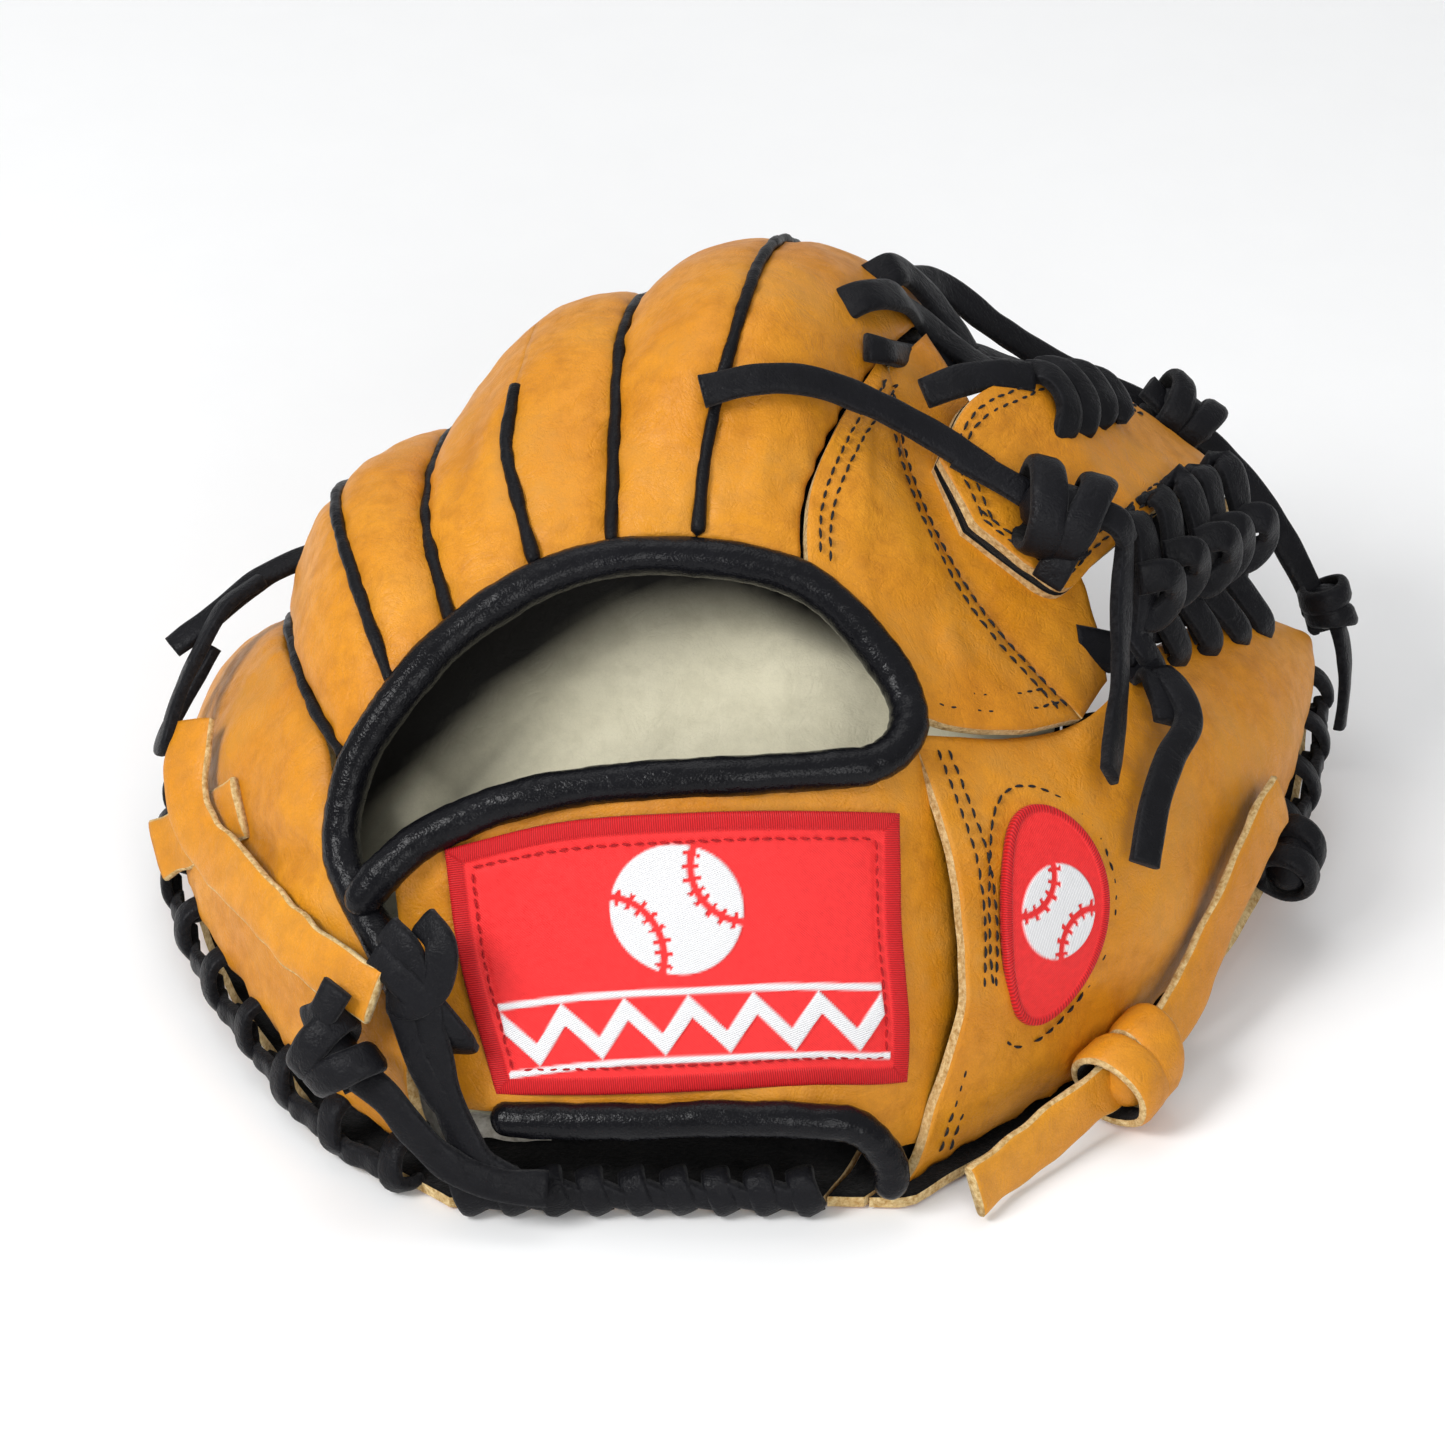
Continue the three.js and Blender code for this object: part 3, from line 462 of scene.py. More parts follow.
def panel(name, surface, nodes, looks=TAN_SHEET, along=(0, 1), across=(0, 1), trim=(0, 0),
          layer=(-LEATHER, 0), dips=(1, 1, 0, 0), puff=0.0, folds=(), pitch=1.5, seed=1, soft=0.35,
          shade=None):
    """A sheet that crowns between its seams, puckers beside them and carries soft folds.

    trim is in mm off its left and right edges, layer is its height over the surface, and dips says how
    hard its left, right, first and last edges are sewn down. A fold is (start, end, width, depth)."""
    rough, _, _ = rows_of(surface, along, across, trim, 12, 12)
    a, _, b, _ = edges_of(rough)
    columns = int(np.clip(a[:, -1].max() / pitch, 6, 130))
    rows = int(np.clip(b[-1].max() / pitch, 6, 150))
    grid, _, t = rows_of(surface, along, across, trim, rows, columns)
    normal = normals_of(grid)
    distance = edges_of(grid)
    flat = grid.reshape(-1, 3)
    shape = grid.shape[:2]
    relief = np.zeros(shape)
    # seam holds painted shade, darkest by sewn-down edges and in the creases of folds
    seam = np.zeros(shape)
    crown = np.ones(shape)
    for d, dip in zip(distance, dips):
        dip = dip(t) if callable(dip) else np.full(shape, float(dip))
        if dip.any():
            crown *= 1 - np.exp(-(d / CROWN_REACH)) * np.clip(2 * dip, 0, 1)
            pucker = 1 + 0.35 * ripple(flat, 7, seed + 3).reshape(shape)
            relief -= dip * PUCKER_DEPTH * np.exp(-((d / PUCKER_WIDTH) ** 1.4)) * pucker
            # painted shade beside a sewn-down edge
            seam = np.maximum(seam, np.exp(-d / SEAM_SHADE) * np.clip(dip, 0, 1))
    relief += puff * crown
    relief += soft * ripple(flat, 38, seed).reshape(shape) * crown
    relief += 0.10 * ripple(flat, 9, seed + 1).reshape(shape)
    worn = np.clip(ripple(flat, 30, seed + 5).reshape(shape) * 0.25, 0, 0.3)
    for start, end, width, depth in folds:
        d, s = to_line(flat, start, end)
        fade = (np.sin(np.pi * np.clip(0.12 + 0.88 * s, 0, 1)) ** 0.8).reshape(shape)
        d = (d + 0.6 * ripple(flat, 14, seed + 9)).reshape(shape)
        shoulder_lift = 0.45 * np.exp(-(((d - 2.1 * width) / (1.3 * width)) ** 2))
        relief -= depth * fade * (np.exp(-((d / width) ** 2)) - shoulder_lift)
        # painted shade in the fold's crease
        seam = np.maximum(seam, 0.5 * fade * np.exp(-((d / width * 1.6) ** 2)) * min(depth, 1))
    # shade: painted shadow, a function of t and the distance from the left edge
    shaded = shade(t, distance[0]) if shade else np.zeros(shape)
    high = grid + normal * (layer[1] + relief)[..., None]
    low = grid + normal * (layer[0] + relief)[..., None]
    high[..., 2] = np.maximum(high[..., 2], CLEARANCE)
    low[..., 2] = np.maximum(low[..., 2], 0.0)
    vertices, faces, kinds = slab(low, high)
    made = piece(name, vertices, faces, looks, kinds, twice(seam=seam, worn=worn, shade=shaded), flat=(1,))
    return settle(made, nodes)


def frames_of(points, up):
    """Tangent, side and upward directions along a line; up is a direction or a function of the points."""
    ahead = unit(np.gradient(points, axis=0))
    facing = up(points) if callable(up) else np.tile(np.array(up, float), (len(points), 1))
    side = unit(np.cross(ahead, facing))
    return ahead, side, unit(np.cross(side, ahead))


def carried_frames(points):
    """Frames that turn as little as possible along the line."""
    ahead = unit(np.gradient(points, axis=0))
    side = np.zeros_like(points)
    side[0] = unit(np.cross(ahead[0], [0.31, 0.17, 0.93]))
    for i in range(1, len(points)):
        side[i] = unit(side[i - 1] - ahead[i] * (side[i - 1] @ ahead[i]))
    return ahead, side, np.cross(side, ahead)


def rings_of(points, radius, sides, frames):
    """Rings of points round a line; radius is one number or (rows, sides)."""
    _, side, up = frames
    turn = np.linspace(0, 2 * np.pi, sides, endpoint=False)
    ring = np.cos(turn)[None, :, None] * side[:, None] - np.sin(turn)[None, :, None] * up[:, None]
    return points[:, None] + ring * np.asarray(radius)[..., None]


def tube_mesh(points, radius, sides, frames=None):
    """A closed round body along points; radius (rows, sides)."""
    body = rings_of(points, radius, sides, frames or carried_frames(points))
    n = len(points)
    k = np.arange(n * sides).reshape(n, sides)
    nxt = np.roll(k, -1, 1)
    faces = np.stack([k[:-1], nxt[:-1], nxt[1:], k[1:]], -1).reshape(-1, 4).tolist()
    vertices = body.reshape(-1, 3)
    faces.append(k[0][::-1].tolist())
    faces.append(k[-1].tolist())
    return vertices, faces


def round_ends(radius, step, size):
    """Shrinks the last rows of a tube so its ends close like a thumb tip."""
    n = len(radius)
    d = np.minimum(np.arange(n), np.arange(n)[::-1]) * step
    return radius * np.sqrt(np.clip(1 - (1 - np.clip(d / size, 0, 1)) ** 2, 0.02, 1))[:, None]


def unworn(vertices):
    return {"seam": np.zeros(len(vertices)), "worn": np.zeros(len(vertices))}


def roll(name, rail, diameter, node, look, wrinkle, pitch, sides, seed):
    """A rolled edge or a welt: a cord whose skin wrinkles where it bends."""
    n = int(rail.length / pitch)
    points = rail(np.linspace(0, 1, n))
    turn = np.linspace(0, 2 * np.pi, sides, endpoint=False)
    phase = np.linspace(0, rail.length, n) * 2 * np.pi / GATHER + 2.2 * ripple(points, 16, seed)
    frames = carried_frames(points)
    skin = rings_of(points, diameter / 2, sides, frames).reshape(-1, 3)
    bend = np.linalg.norm(np.gradient(frames[0], axis=0), axis=1) / pitch * 12
    bend = np.convolve(bend, np.ones(9) / 9, "same")[:, None]
    gather = np.cos(phase[:, None] + 1.3 * np.sin(turn)[None])
    radius = diameter / 2 + wrinkle * (0.35 * ripple(skin, 12, seed + 1).reshape(n, sides)
                                       + 0.12 * ripple(skin, 3.5, seed + 2).reshape(n, sides)
                                       + 0.18 * gather * np.clip(0.35 + bend, 0, 1.3))
    radius = round_ends(radius, pitch, diameter / 2)
    vertices, faces = tube_mesh(points, radius, sides)
    return settle(piece(name, vertices, faces, look, None, unworn(vertices)), [node])


def band(points, up, width, thick, seed, curl=0.12):
    """Flat lace along points: vertices, faces, face kinds (0 broad top, 1 cut side, 2 underside), wear."""
    n = len(points)
    ahead, side, top = frames_of(points, up)
    turn = np.linspace(0, 2 * np.pi, SECTION, endpoint=False) + np.pi / SECTION
    c, s = np.cos(turn), np.sin(turn)
    x = np.sign(c) * np.abs(c) ** 0.45
    y = np.sign(s) * np.abs(s) ** 0.6
    half = width / 2 * (1 + 0.035 * ripple(points, 11, seed))[:, None]
    lean = 0.045 * ripple(points, 26, seed + 1)[:, None]
    across = half * x[None]
    uneven = 1 + 0.06 * ripple(points, 8, seed + 2)[:, None]
    rise = thick / 2 * y[None] * uneven - curl * thick * x[None] ** 2 + lean * across
    body = points[:, None] + across[..., None] * side[:, None] + rise[..., None] * top[:, None]
    k = np.arange(n * SECTION).reshape(n, SECTION)
    nxt = np.roll(k, -1, 1)
    faces = np.stack([k[:-1], k[1:], nxt[1:], nxt[:-1]], -1).reshape(-1, 4).tolist()
    mid = (x + np.roll(x, -1)) / 2
    high = (y + np.roll(y, -1)) / 2
    kind = np.where(np.abs(mid) > 0.9, 1, np.where(high > 0, 0, 2))
    kinds = np.tile(kind, n - 1).tolist()
    faces += [k[0].tolist(), k[-1][::-1].tolist()]
    kinds += [1, 1]
    body = body.reshape(-1, 3)
    at_edge = np.tile(np.abs(x) > 0.8, n)
    worn = np.clip(0.12 + 0.3 * at_edge * (0.5 + 0.5 * ripple(body, 5, seed)), 0, 0.5)
    return body, faces, kinds, worn


def joined(parts):
    """Several bodies as one mesh."""
    vertices, faces, kinds, worn, start = [], [], [], [], 0
    for v, f, k, w in parts:
        vertices.append(v)
        faces += [[i + start for i in face] for face in f]
        kinds += list(k)
        worn.append(w)
        start += len(v)
    return np.concatenate(vertices), faces, kinds, np.concatenate(worn)


def laces(name, routes, node, looks=LACE_SHEET, body=None, extra=()):
    """All of one piece's laces: routes are (points, up, width), extra are ready-made parts such as knots."""
    parts = []
    for number, (points, up, width) in enumerate(routes):
        rail = Rail(*points)
        n = max(int(rail.length / LACE_STEP), 8)
        parts.append(band(rail(np.linspace(0, 1, n)), up, width, LACE_THICK, 1 + 13 * number))
    vertices, faces, kinds, worn = joined(parts + list(extra))
    vertices[:, 2] = np.maximum(vertices[:, 2], CLEARANCE)
    made = piece(name, vertices, faces, looks, kinds, unworn(vertices) | {"worn": worn})
    return settle(made, [node], body)


def loop_points(centre, axis, up, wide, tall, tilt, turns, start, drift):
    """Points of a turn of lace round axis, tilted, for a knot."""
    axis = unit(np.array(axis, float))
    up = np.array(up, float)
    side = unit(np.cross(axis, up))
    up = np.cross(side, axis)
    a = start + np.linspace(0, 2 * np.pi * turns, int(30 * turns))
    lean = axis * math.tan(tilt)
    return (np.array(centre, float) + np.outer(np.cos(a) * wide, side) + np.outer(np.sin(a) * tall, up)
            + np.outer(np.cos(a) * wide, lean) + np.outer(np.linspace(-0.5, 0.5, len(a)) * drift, axis))


def knot_parts(centre, axis, up, length, wide, tall, width, thick, seed):
    """An overhand knot drawn tight: two broad turns side by side round a core."""
    centre = np.array(centre, float)
    axis = unit(np.array(axis, float))
    outward = lambda p: p - centre - np.outer((p - centre) @ axis, axis)
    parts = []
    for tilt, shift, size, first in ((0.16, -0.25, 1.0, -1.6), (-0.22, 0.24, 0.93, -1.4)):
        middle = centre + axis * shift * length
        turn = loop_points(middle, axis, up, wide * size, tall * size, tilt, 1.1, first, 2.0)
        parts.append(band(turn, outward, width, thick, seed, curl=0.3))
        seed += 5
    core = centre + np.outer(np.linspace(-0.5, 0.5, 16) * length, axis)
    radius = round_ends(np.full((16, 12), min(wide, tall) * 0.9), length / 15, length * 0.4)
    v, f = tube_mesh(core, radius, 12)
    parts.append((v, f, [0] * len(f), np.full(len(v), 0.1)))
    return parts


def stitch_rows(name, rows, seed, look=THREAD, pitch=3.0, length=2.1, thick=0.62):
    """Running stitches: each row is (points, normals)."""
    draw = np.random.default_rng(seed)
    vertices, faces, start = [], [], 0
    profile = np.array([0.35, 0.9, 1.0, 0.9, 0.35])
    for points, normal in rows:
        run = np.concatenate([[0], np.cumsum(np.linalg.norm(np.diff(points, axis=0), axis=1))])
        here = np.arange(pitch / 2, run[-1] - pitch / 2, pitch)
        at = lambda s, x: np.stack([np.interp(s, run, x[:, i]) for i in range(3)], 1)
        for s in here:
            tilt = draw.uniform(-0.22, 0.22)
            span = s + np.linspace(-0.5, 0.5, 5) * length * draw.uniform(0.92, 1.08)
            p, n = at(span, points), unit(at(span, normal))
            ahead = unit(p[-1:] - p[:1])
            side = unit(np.cross(ahead, n))
            p = p + side * (np.linspace(-1, 1, 5) * tilt * length * 0.35)[:, None]
            p = p + n * (thick * (0.1 + 0.35 * np.array([0, 0.8, 1, 0.8, 0])))[:, None]
            v, f = tube_mesh(p, (profile * thick / 2)[:, None] * np.ones((1, 6)), 6, (ahead, side, n))
            vertices.append(v)
            faces += [[i + start for i in face] for face in f]
            start += len(v)
    return settle(piece(name, np.concatenate(vertices), faces, look))


def on_surface(surface, u, t, lift=0.0, n=200):
    """Points and normals on a surface, along a line given in its own shares."""
    s = np.linspace(0, 1, n)
    marks = np.linspace(0, 1, len(u))
    u, t = np.interp(s, marks, u), np.interp(s, marks, t)
    step = 0.004
    du = surface(np.clip(u + step, 0, 1), t) - surface(np.clip(u - step, 0, 1), t)
    dt = surface(u, np.clip(t + step, 0, 1)) - surface(u, np.clip(t - step, 0, 1))
    normal = unit(np.cross(du, dt))
    return surface(u, t) + normal * lift, normal


def beside(surface, trim, along, side, lift=0.0, n=160):
    """Points and normals on a surface, trim mm in from its left or right edge."""
    grid, _, _ = rows_of(surface, along, (0, 1), (trim, 0) if side == "left" else (0, trim), n, 40)
    normal = normals_of(grid)
    column = 0 if side == "left" else -1
    return grid[:, column] + normal[:, column] * lift, normal[:, column]


# ---- Rails: seams, ridges and edges of the glove, as in the CAD model -------------------------------------
pinky_edge = Rail([-48, -2, 7], [-71, 18, 10], [-86, 41, 13], [-97, 61, 15], [-105, 86, 17], [-107, 108, 17],
                  [-105, 130, 15], [-98, 150, 12], [-88, 166, 8])
pinky_ridge = Rail([-53, 2, 26], [-66, 18, 36], [-79, 40, 45], [-89, 62, 47], [-96, 88, 47], [-98, 114, 42],
                   [-95, 138, 31], [-87, 160, 17])
pinky_inner = Rail([-50, 5, 38], [-57, 17, 47], [-66, 35, 60], [-70, 52, 70], [-76, 72, 70.5], [-81, 92, 66],
                   [-82, 110, 60], [-81, 130, 47], [-77, 148, 30], [-73, 158, 18])
pinky_ring_seam = Rail([-65, 42, 71], [-73, 60, 71.5], [-79, 85, 69], [-82, 108, 61], [-81, 130, 47],
                       [-77, 148, 30], [-73, 158, 18])
ring_ridge = Rail([-56, 48, 82], [-63, 66, 91], [-69, 88, 95], [-71, 108, 91.5], [-69, 132, 78],
                  [-64, 152, 58], [-59, 168, 32])
middle_ring_seam = Rail([-45, 57, 90.6], [-51, 80, 97], [-52, 105, 96.5], [-49, 135, 90], [-44, 158, 74],
                        [-38, 173, 55], [-34, 180, 42])
middle_ridge = Rail([-29, 63, 99], [-33, 78, 106], [-36, 92, 111], [-34, 115, 116], [-31, 140, 112],
                    [-25, 164, 98], [-19, 184, 74], [-15, 193, 50])
index_middle_seam = Rail([-15.5, 66, 102], [-15, 90, 112], [-14, 120, 120], [-11, 140, 117], [-7, 160, 106],
                         [-3, 180, 84], [0, 190, 60])
index_ridge = Rail([0.7, 67, 102], [3, 84, 116.5], [9, 105, 132], [14, 130, 133], [19, 154, 124],
                   [25, 176, 106], [30, 194, 80], [31, 204, 52])
index_edge = Rail([21, 64, 98.6], [22, 80, 107], [28, 97, 112.5], [38, 121, 115], [46, 140, 112],
                  [51, 165, 98], [51, 188, 75], [49, 200, 52])
opening_corner = Rail([22, 64, 98.5], [34, 57, 89.5], [41, 48, 79], [60, 55, 69], [76, 68, 63.5])
crotch_left = Rail([22, 64, 98.5], [22.5, 80, 107], [28, 97, 112.5], [37, 120, 115])
crotch_right = Rail([76, 68, 63.5], [56, 80, 82], [43, 100, 99], [38.5, 120, 114.5])
crotch_tip = Rail([37, 120, 115], [38.5, 120, 114.5])
web_shoulder = Rail([81, 84, 62], [79.5, 90, 70.5], [76, 98, 79], [69, 107, 88.5], [60, 116, 98],
                    [46, 137, 112])
thumb_upper = Rail([42, 44, 76], [60, 54.5, 68.5], [76, 67.5, 63], [84, 80, 61.5], [93, 99, 60],
                   [109, 124, 51], [122, 142, 39], [127, 152, 31])
thumb_lower = Rail([42, -0.5, 2.6], [61, 16.5, 3.4], [82, 34.5, 5.5], [95, 51.5, 8.5], [113, 82, 15],
                   [127, 117, 22], [132, 146, 29])
thumb_start = Rail([42, 44, 76], [45, 36, 67], [48.5, 27, 55], [49, 15, 33], [45, 6, 15], [42, -0.5, 2.6])
thumb_end = Rail([127, 152, 31], [132, 146, 29])
palm_pinky_edge = Rail([-46, -4, -1], [-69, 16, 0], [-84, 40, 2], [-95, 61, 4], [-103, 86, 6], [-105, 108, 7],
                       [-103, 130, 7], [-96, 149, 6], [-86, 163, 4])
palm_pinky_pad = Rail([-36, -4, -2], [-56, 20, -2], [-70, 43, -2], [-80, 64, -1], [-88, 88, -1],
                      [-91, 108, 0], [-89, 130, 3], [-84, 148, 6], [-77, 159, 9])
palm_ring = Rail([-22, -4, -2], [-29, 10, -1], [-41, 32, 12], [-58, 60, 32], [-67, 92, 45], [-69, 122, 42],
                 [-66, 144, 33], [-61, 159, 20])
palm_middle = Rail([-8, -4, -2], [-11, 10, -3], [-20, 36, 22], [-33, 72, 52], [-40, 105, 73], [-40, 133, 73],
                   [-36, 158, 56], [-30, 176, 37])
palm_index = Rail([8, -4, -2], [8, 10, -3], [6, 40, 26], [3, 76, 56], [3, 108, 84], [7, 138, 95],
                  [14, 165, 85], [21, 186, 64], [24, 198, 44])
palm_fold = Rail([26, -4, -2], [33, 8, 2], [44, 27, 17], [60, 54, 36], [74, 79, 53], [65, 97, 70],
                 [53, 120, 88], [48, 148, 94], [48, 175, 80], [46, 196, 45])
thumb_fold = Rail([33, -4, -2], [41, 5, 1], [53, 26, 16], [68, 52, 36], [82, 78, 54], [92, 98, 54],
                  [107, 122, 45], [119, 139, 34], [125, 149, 27])
thumb_palm = Rail([36, -4, -2], [46, 8, -1], [56, 30, 6], [72, 54, 20], [85, 76, 30], [96, 96, 34],
                  [110, 120, 33], [121, 138, 28], [127, 148, 25])
thumb_pad = Rail([40, -4, -2], [56, 14, -2], [75, 34, -2], [88, 52, -2], [105, 81, 0], [120, 116, 8],
                 [129, 144, 21])
palm_thumb_edge = Rail([43, -3, -1], [62, 14, -1], [83, 32, 1], [96, 50, 3], [114, 80, 6], [128, 116, 13],
                       [132, 144, 23])
strap_bottom = Rail([-44, 5, 21], [-20, 2, 23], [2, 0.5, 24], [22, 1, 22], [39, 4, 14])
strap_top = Rail([-46, 27, 62], [-24, 26, 69], [2, 25, 72], [28, 28.5, 70.5], [41, 33.5, 68])
strap_left = Rail([-44, 5, 21], [-47, 15, 42], [-46, 27, 62])
strap_right = Rail([39, 4, 14], [46, 14, 33], [45.5, 25, 52], [41, 33.5, 68])
opening_edge = Rail([-51, 7, 37], [-57, 15, 46], [-66.5, 33, 57], [-64, 42, 70], [-56, 48, 82],
                    [-45, 57, 90.6], [-29, 63, 99], [-15.5, 66, 102], [0.7, 67, 102], [21, 64, 98.6],
                    [34, 57, 89.5], [40.7, 48.5, 82], [41, 41.5, 78.4], [35, 35, 76.2], [24, 32.5, 76],
                    [2, 30.5, 76], [-24, 30.5, 73], [-38, 29.5, 69.5], [-50, 27, 64.5])
wrist_edge = Rail([-38, 0.5, 18.5], [-24.5, -2, 19.5], [-9.5, -4, 21], [5.5, -5, 22.5], [20.5, -5.5, 22.5],
                  [31, -5, 20.5], [36.5, -4.8, 14], [38, -5, 8], [36.5, -5, 4.2])
post_right = Rail([54, 91, 93.5], [65, 87.5, 85.5], [72.5, 87.5, 80.5], [79, 95, 82], [85, 103, 82.5],
                  [92.5, 115, 81.5], [101, 128, 77.5], [109, 140, 73], [114, 149, 64])
post_left = Rail([48, 101, 102], [54, 113, 108.5], [62, 122, 108], [71, 133, 104.5], [84.5, 147, 90],
                 [97, 158, 75], [108, 167, 60.5])

pinky_back = arch(pinky_edge, pinky_ridge, pinky_inner, 0.6)
ring_back = arch(pinky_ring_seam, ring_ridge, middle_ring_seam)
middle_back = arch(middle_ring_seam, middle_ridge, index_middle_seam)
index_back = arch(index_middle_seam, index_ridge, index_edge, 0.7)
crotch = coons(opening_corner, crotch_tip, crotch_left, crotch_right, 2)
shoulder = loft(crotch_right, web_shoulder)
thumb_flat = coons(thumb_start, thumb_end, thumb_upper, thumb_lower)
THUMB_OUT = np.array([0.72, -0.2, 0.5]) * 9


def thumb_back(u, t):
    swell = np.sin(np.pi * np.clip(u, 0, 1)) ** 0.8 * np.sin(np.pi * (0.08 + 0.84 * t)) ** 0.7
    return thumb_flat(u, t) + swell[:, None] * THUMB_OUT


strap = coons(strap_bottom, strap_top, strap_left, strap_right)
palm = loft(palm_pinky_edge, palm_pinky_pad, palm_ring, palm_middle, palm_index, palm_fold)
thumb_side = loft(thumb_fold, thumb_palm, thumb_pad, palm_thumb_edge)
fold = loft(palm_fold.cut(0.0, 0.42), thumb_fold.cut(0.0, 0.58))
post = loft(post_left, post_right)

# ---- Free cords: the two tails of the index lace ----------------------------------------------------------
INDEX_TAIL = [(2, 89.5, 125.5), (12, 91.5, 127), (22, 94, 125.5), (34, 97.5, 119), (47, 99, 110.5),
              (58.5, 97.5, 103)]
HANGING_TAIL = [(85.5, 91, 92), (85, 86.5, 84), (84.5, 79.5, 76), (84, 71, 69.5), (82.5, 61, 64.5),
                (81, 51.5, 62)]
for name, node, route, up, leaves in (
        ("index_tail", "index_lace_tail", INDEX_TAIL, (0.35, -0.55, 0.75), INDEX_TAIL[-1]),
        ("hanging_tail", "index_lace_hanging_tail", HANGING_TAIL, (0.88, -0.3, 0.4), HANGING_TAIL[0])):
    line = Rail(*route)
    made = laces(name, [(route, up, LACE_WIDTH)], node, body=FINGERS)
    path = line(np.linspace(0, 1, 40)) * MM
    if leaves == route[-1]:
        path = path[::-1]

# ---- Back of the fingers ----------------------------------------------------------------------------------
RIDGE_WELT_END = 0.3  # the middle finger's ridge has a welt only this far
UNDER_BINDING = 0.02  # share of a finger's rails that goes under the binding
SEAM_GAP = 0.2  # each panel stops this far from a welt
panel("pinky_leather", pinky_back, ["pinky_back"], trim=(0, 0.6),
      dips=(1.2, 0.9, 0, 0), puff=1.0, soft=0.55, seed=11,
      folds=[((-66, 30, 53), (-84, 52, 46), 4.0, 2.2), ((-70, 22, 40), (-88, 46, 38), 3.6, 1.6),
             ((-80, 40, 47), (-98, 76, 40), 5.0, 1.2), ((-74, 66, 66), (-88, 90, 58), 6.0, 1.0)])
for finger, surface, seed, folds in (
        ("ring", ring_back, 21, [((-60, 60, 84), (-68, 84, 84), 4.5, 0.7)]),
        ("middle", middle_back, 31, [((-47, 84, 104), (-40, 120, 112), 5.0, 1.1),
                                     ((-24, 74, 104), (-28, 98, 112), 3.5, 0.5)]),
        ("index", index_back, 41, [((16, 72, 107), (20, 92, 117), 2.6, 0.6),
                                   ((8, 74, 109), (12, 96, 124), 3.2, 0.5),
                                   ((22, 100, 118), (34, 122, 118), 4.0, 0.8)])):
    for half, across in (("left", (0, 0.5)), ("right", (0.5, 1))):
        node = f"{finger}_back_{'outer' if half == 'left' else 'inner'}"
        ridge, gap = (0.6, SEAM_GAP) if finger != "middle" else (
            lambda t: 0.6 * np.clip((RIDGE_WELT_END - t) / 0.06, 0, 1),
            lambda t: SEAM_GAP * np.clip((RIDGE_WELT_END - t) / 0.04, 0, 1) - 0.02)
        dips, trim = ((0.6, ridge), (SEAM_GAP, gap)) if half == "left" else ((ridge, 0.6), (gap, SEAM_GAP))
        panel(f"{finger}_leather_{half}", surface, [node], along=(UNDER_BINDING, 1),
              across=across, trim=trim, dips=(*dips, 0.2, 0.4), puff=0.4, seed=seed, folds=folds)
for name, rail in (("pinky_ring", pinky_ring_seam), ("ring", ring_ridge), ("middle_ring", middle_ring_seam),
                   ("middle", middle_ridge), ("index_middle", index_middle_seam), ("index", index_ridge)):
    rail = rail.cut(0.022, RIDGE_WELT_END if name == "middle" else 0.99)
    roll(f"welt_cord_{name}", rail, WELT, f"welt_{name}", BLACK, wrinkle=0.35,
         pitch=0.9, sides=12, seed=len(name))

# ---- Crotch and thumb -------------------------------------------------------------------------------------
OVERLAP = 1.3  # leather that laps over its neighbour stands this much higher
panel("crotch_leather", crotch, ["crotch_panel"], along=(0, 0.985),
      layer=(-1.2, OVERLAP), dips=(0, 0.5, 0, 0), puff=0.3, seed=51,
      folds=[((33, 66, 99), (40, 84, 101), 3.0, 0.6), ((44, 60, 86), (50, 74, 88), 3.4, 0.5)])
panel("shoulder_leather", shoulder, ["web_shoulder_panel"], along=(0, 0.985),
      layer=(-1.6, 0.9), dips=(0.4, 0, 0, 0), puff=0.5, seed=53)
panel("thumb_leather", thumb_back, ["thumb_back"], along=(0, 0.99),
      dips=(0, 0.8, 0, 0), puff=0.4, soft=0.5, seed=61,
      folds=[((58, 40, 62), (66, 34, 48), 4.0, 0.5), ((60, 20, 22), (84, 42, 20), 4.5, 0.9),
             ((88, 70, 50), (96, 78, 36), 5.0, 0.6)])

# ---- Bindings ---------------------------------------------------------------------------------------------
strap_end = Rail([-44, 28.5, 67.2], [-50, 27, 64.5], [-56, 24.5, 60.5], [-61, 22, 55.5], [-63, 21, 51])
opening_roll = Rail(*opening_edge(np.linspace(0, 0.97, 60)), *strap_end(np.linspace(0.3, 1, 6)))
for name, rail, diameter, node, seed in (
        ("opening_binding", opening_roll, BINDING, "hand_opening_binding", 71),
        ("heel_binding", wrist_edge, BINDING - 0.6, "wrist_binding", 73)):
    roll(name, rail, diameter, node, GLOSS, wrinkle=0.3, pitch=0.7, sides=26, seed=seed)

# ---- Wrist strap and patches ------------------------------------------------------------------------------
wide_strap = coons(  # the strap with the margins that go under the bindings, the crotch and the thumb
    Rail([-51, 6, 18], [-40, 1, 19.5], [-20, -1, 21], [2, -2.5, 22.5], [22, -3, 21.5], [37, -1, 12],
         [46, 6, 8]),
    Rail([-56, 23, 58], [-46, 27.5, 65.5], [-24, 28.5, 72], [2, 28, 75], [26, 32, 75], [38, 37.5, 76],
         [49, 47, 74]),
    Rail([-51, 6, 18], [-54, 14, 38], [-56, 23, 58]),
    Rail([46, 6, 8], [53, 22, 34], [51, 34, 56], [49, 47, 74]))
panel("strap_leather", wide_strap, ["wrist_strap"], layer=(-LEATHER - 0.4, -0.4),
      dips=(0, 0, 0.3, 0.3), seed=81)


PATCH_LOW, PATCH_HIGH = 0.4, 2.0  # the patch's height over the strap
OVAL_LOW, OVAL_HIGH = 0.5, 1.6
WRIST_BORDER, OVAL_BORDER = 3.6, 2.0
FIGURE_LIFT = 0.45  # white thread stands above its ground
OVAL_MIDDLE, OVAL_SPREAD = (0.46, 0.13), (0.27, 0.08)


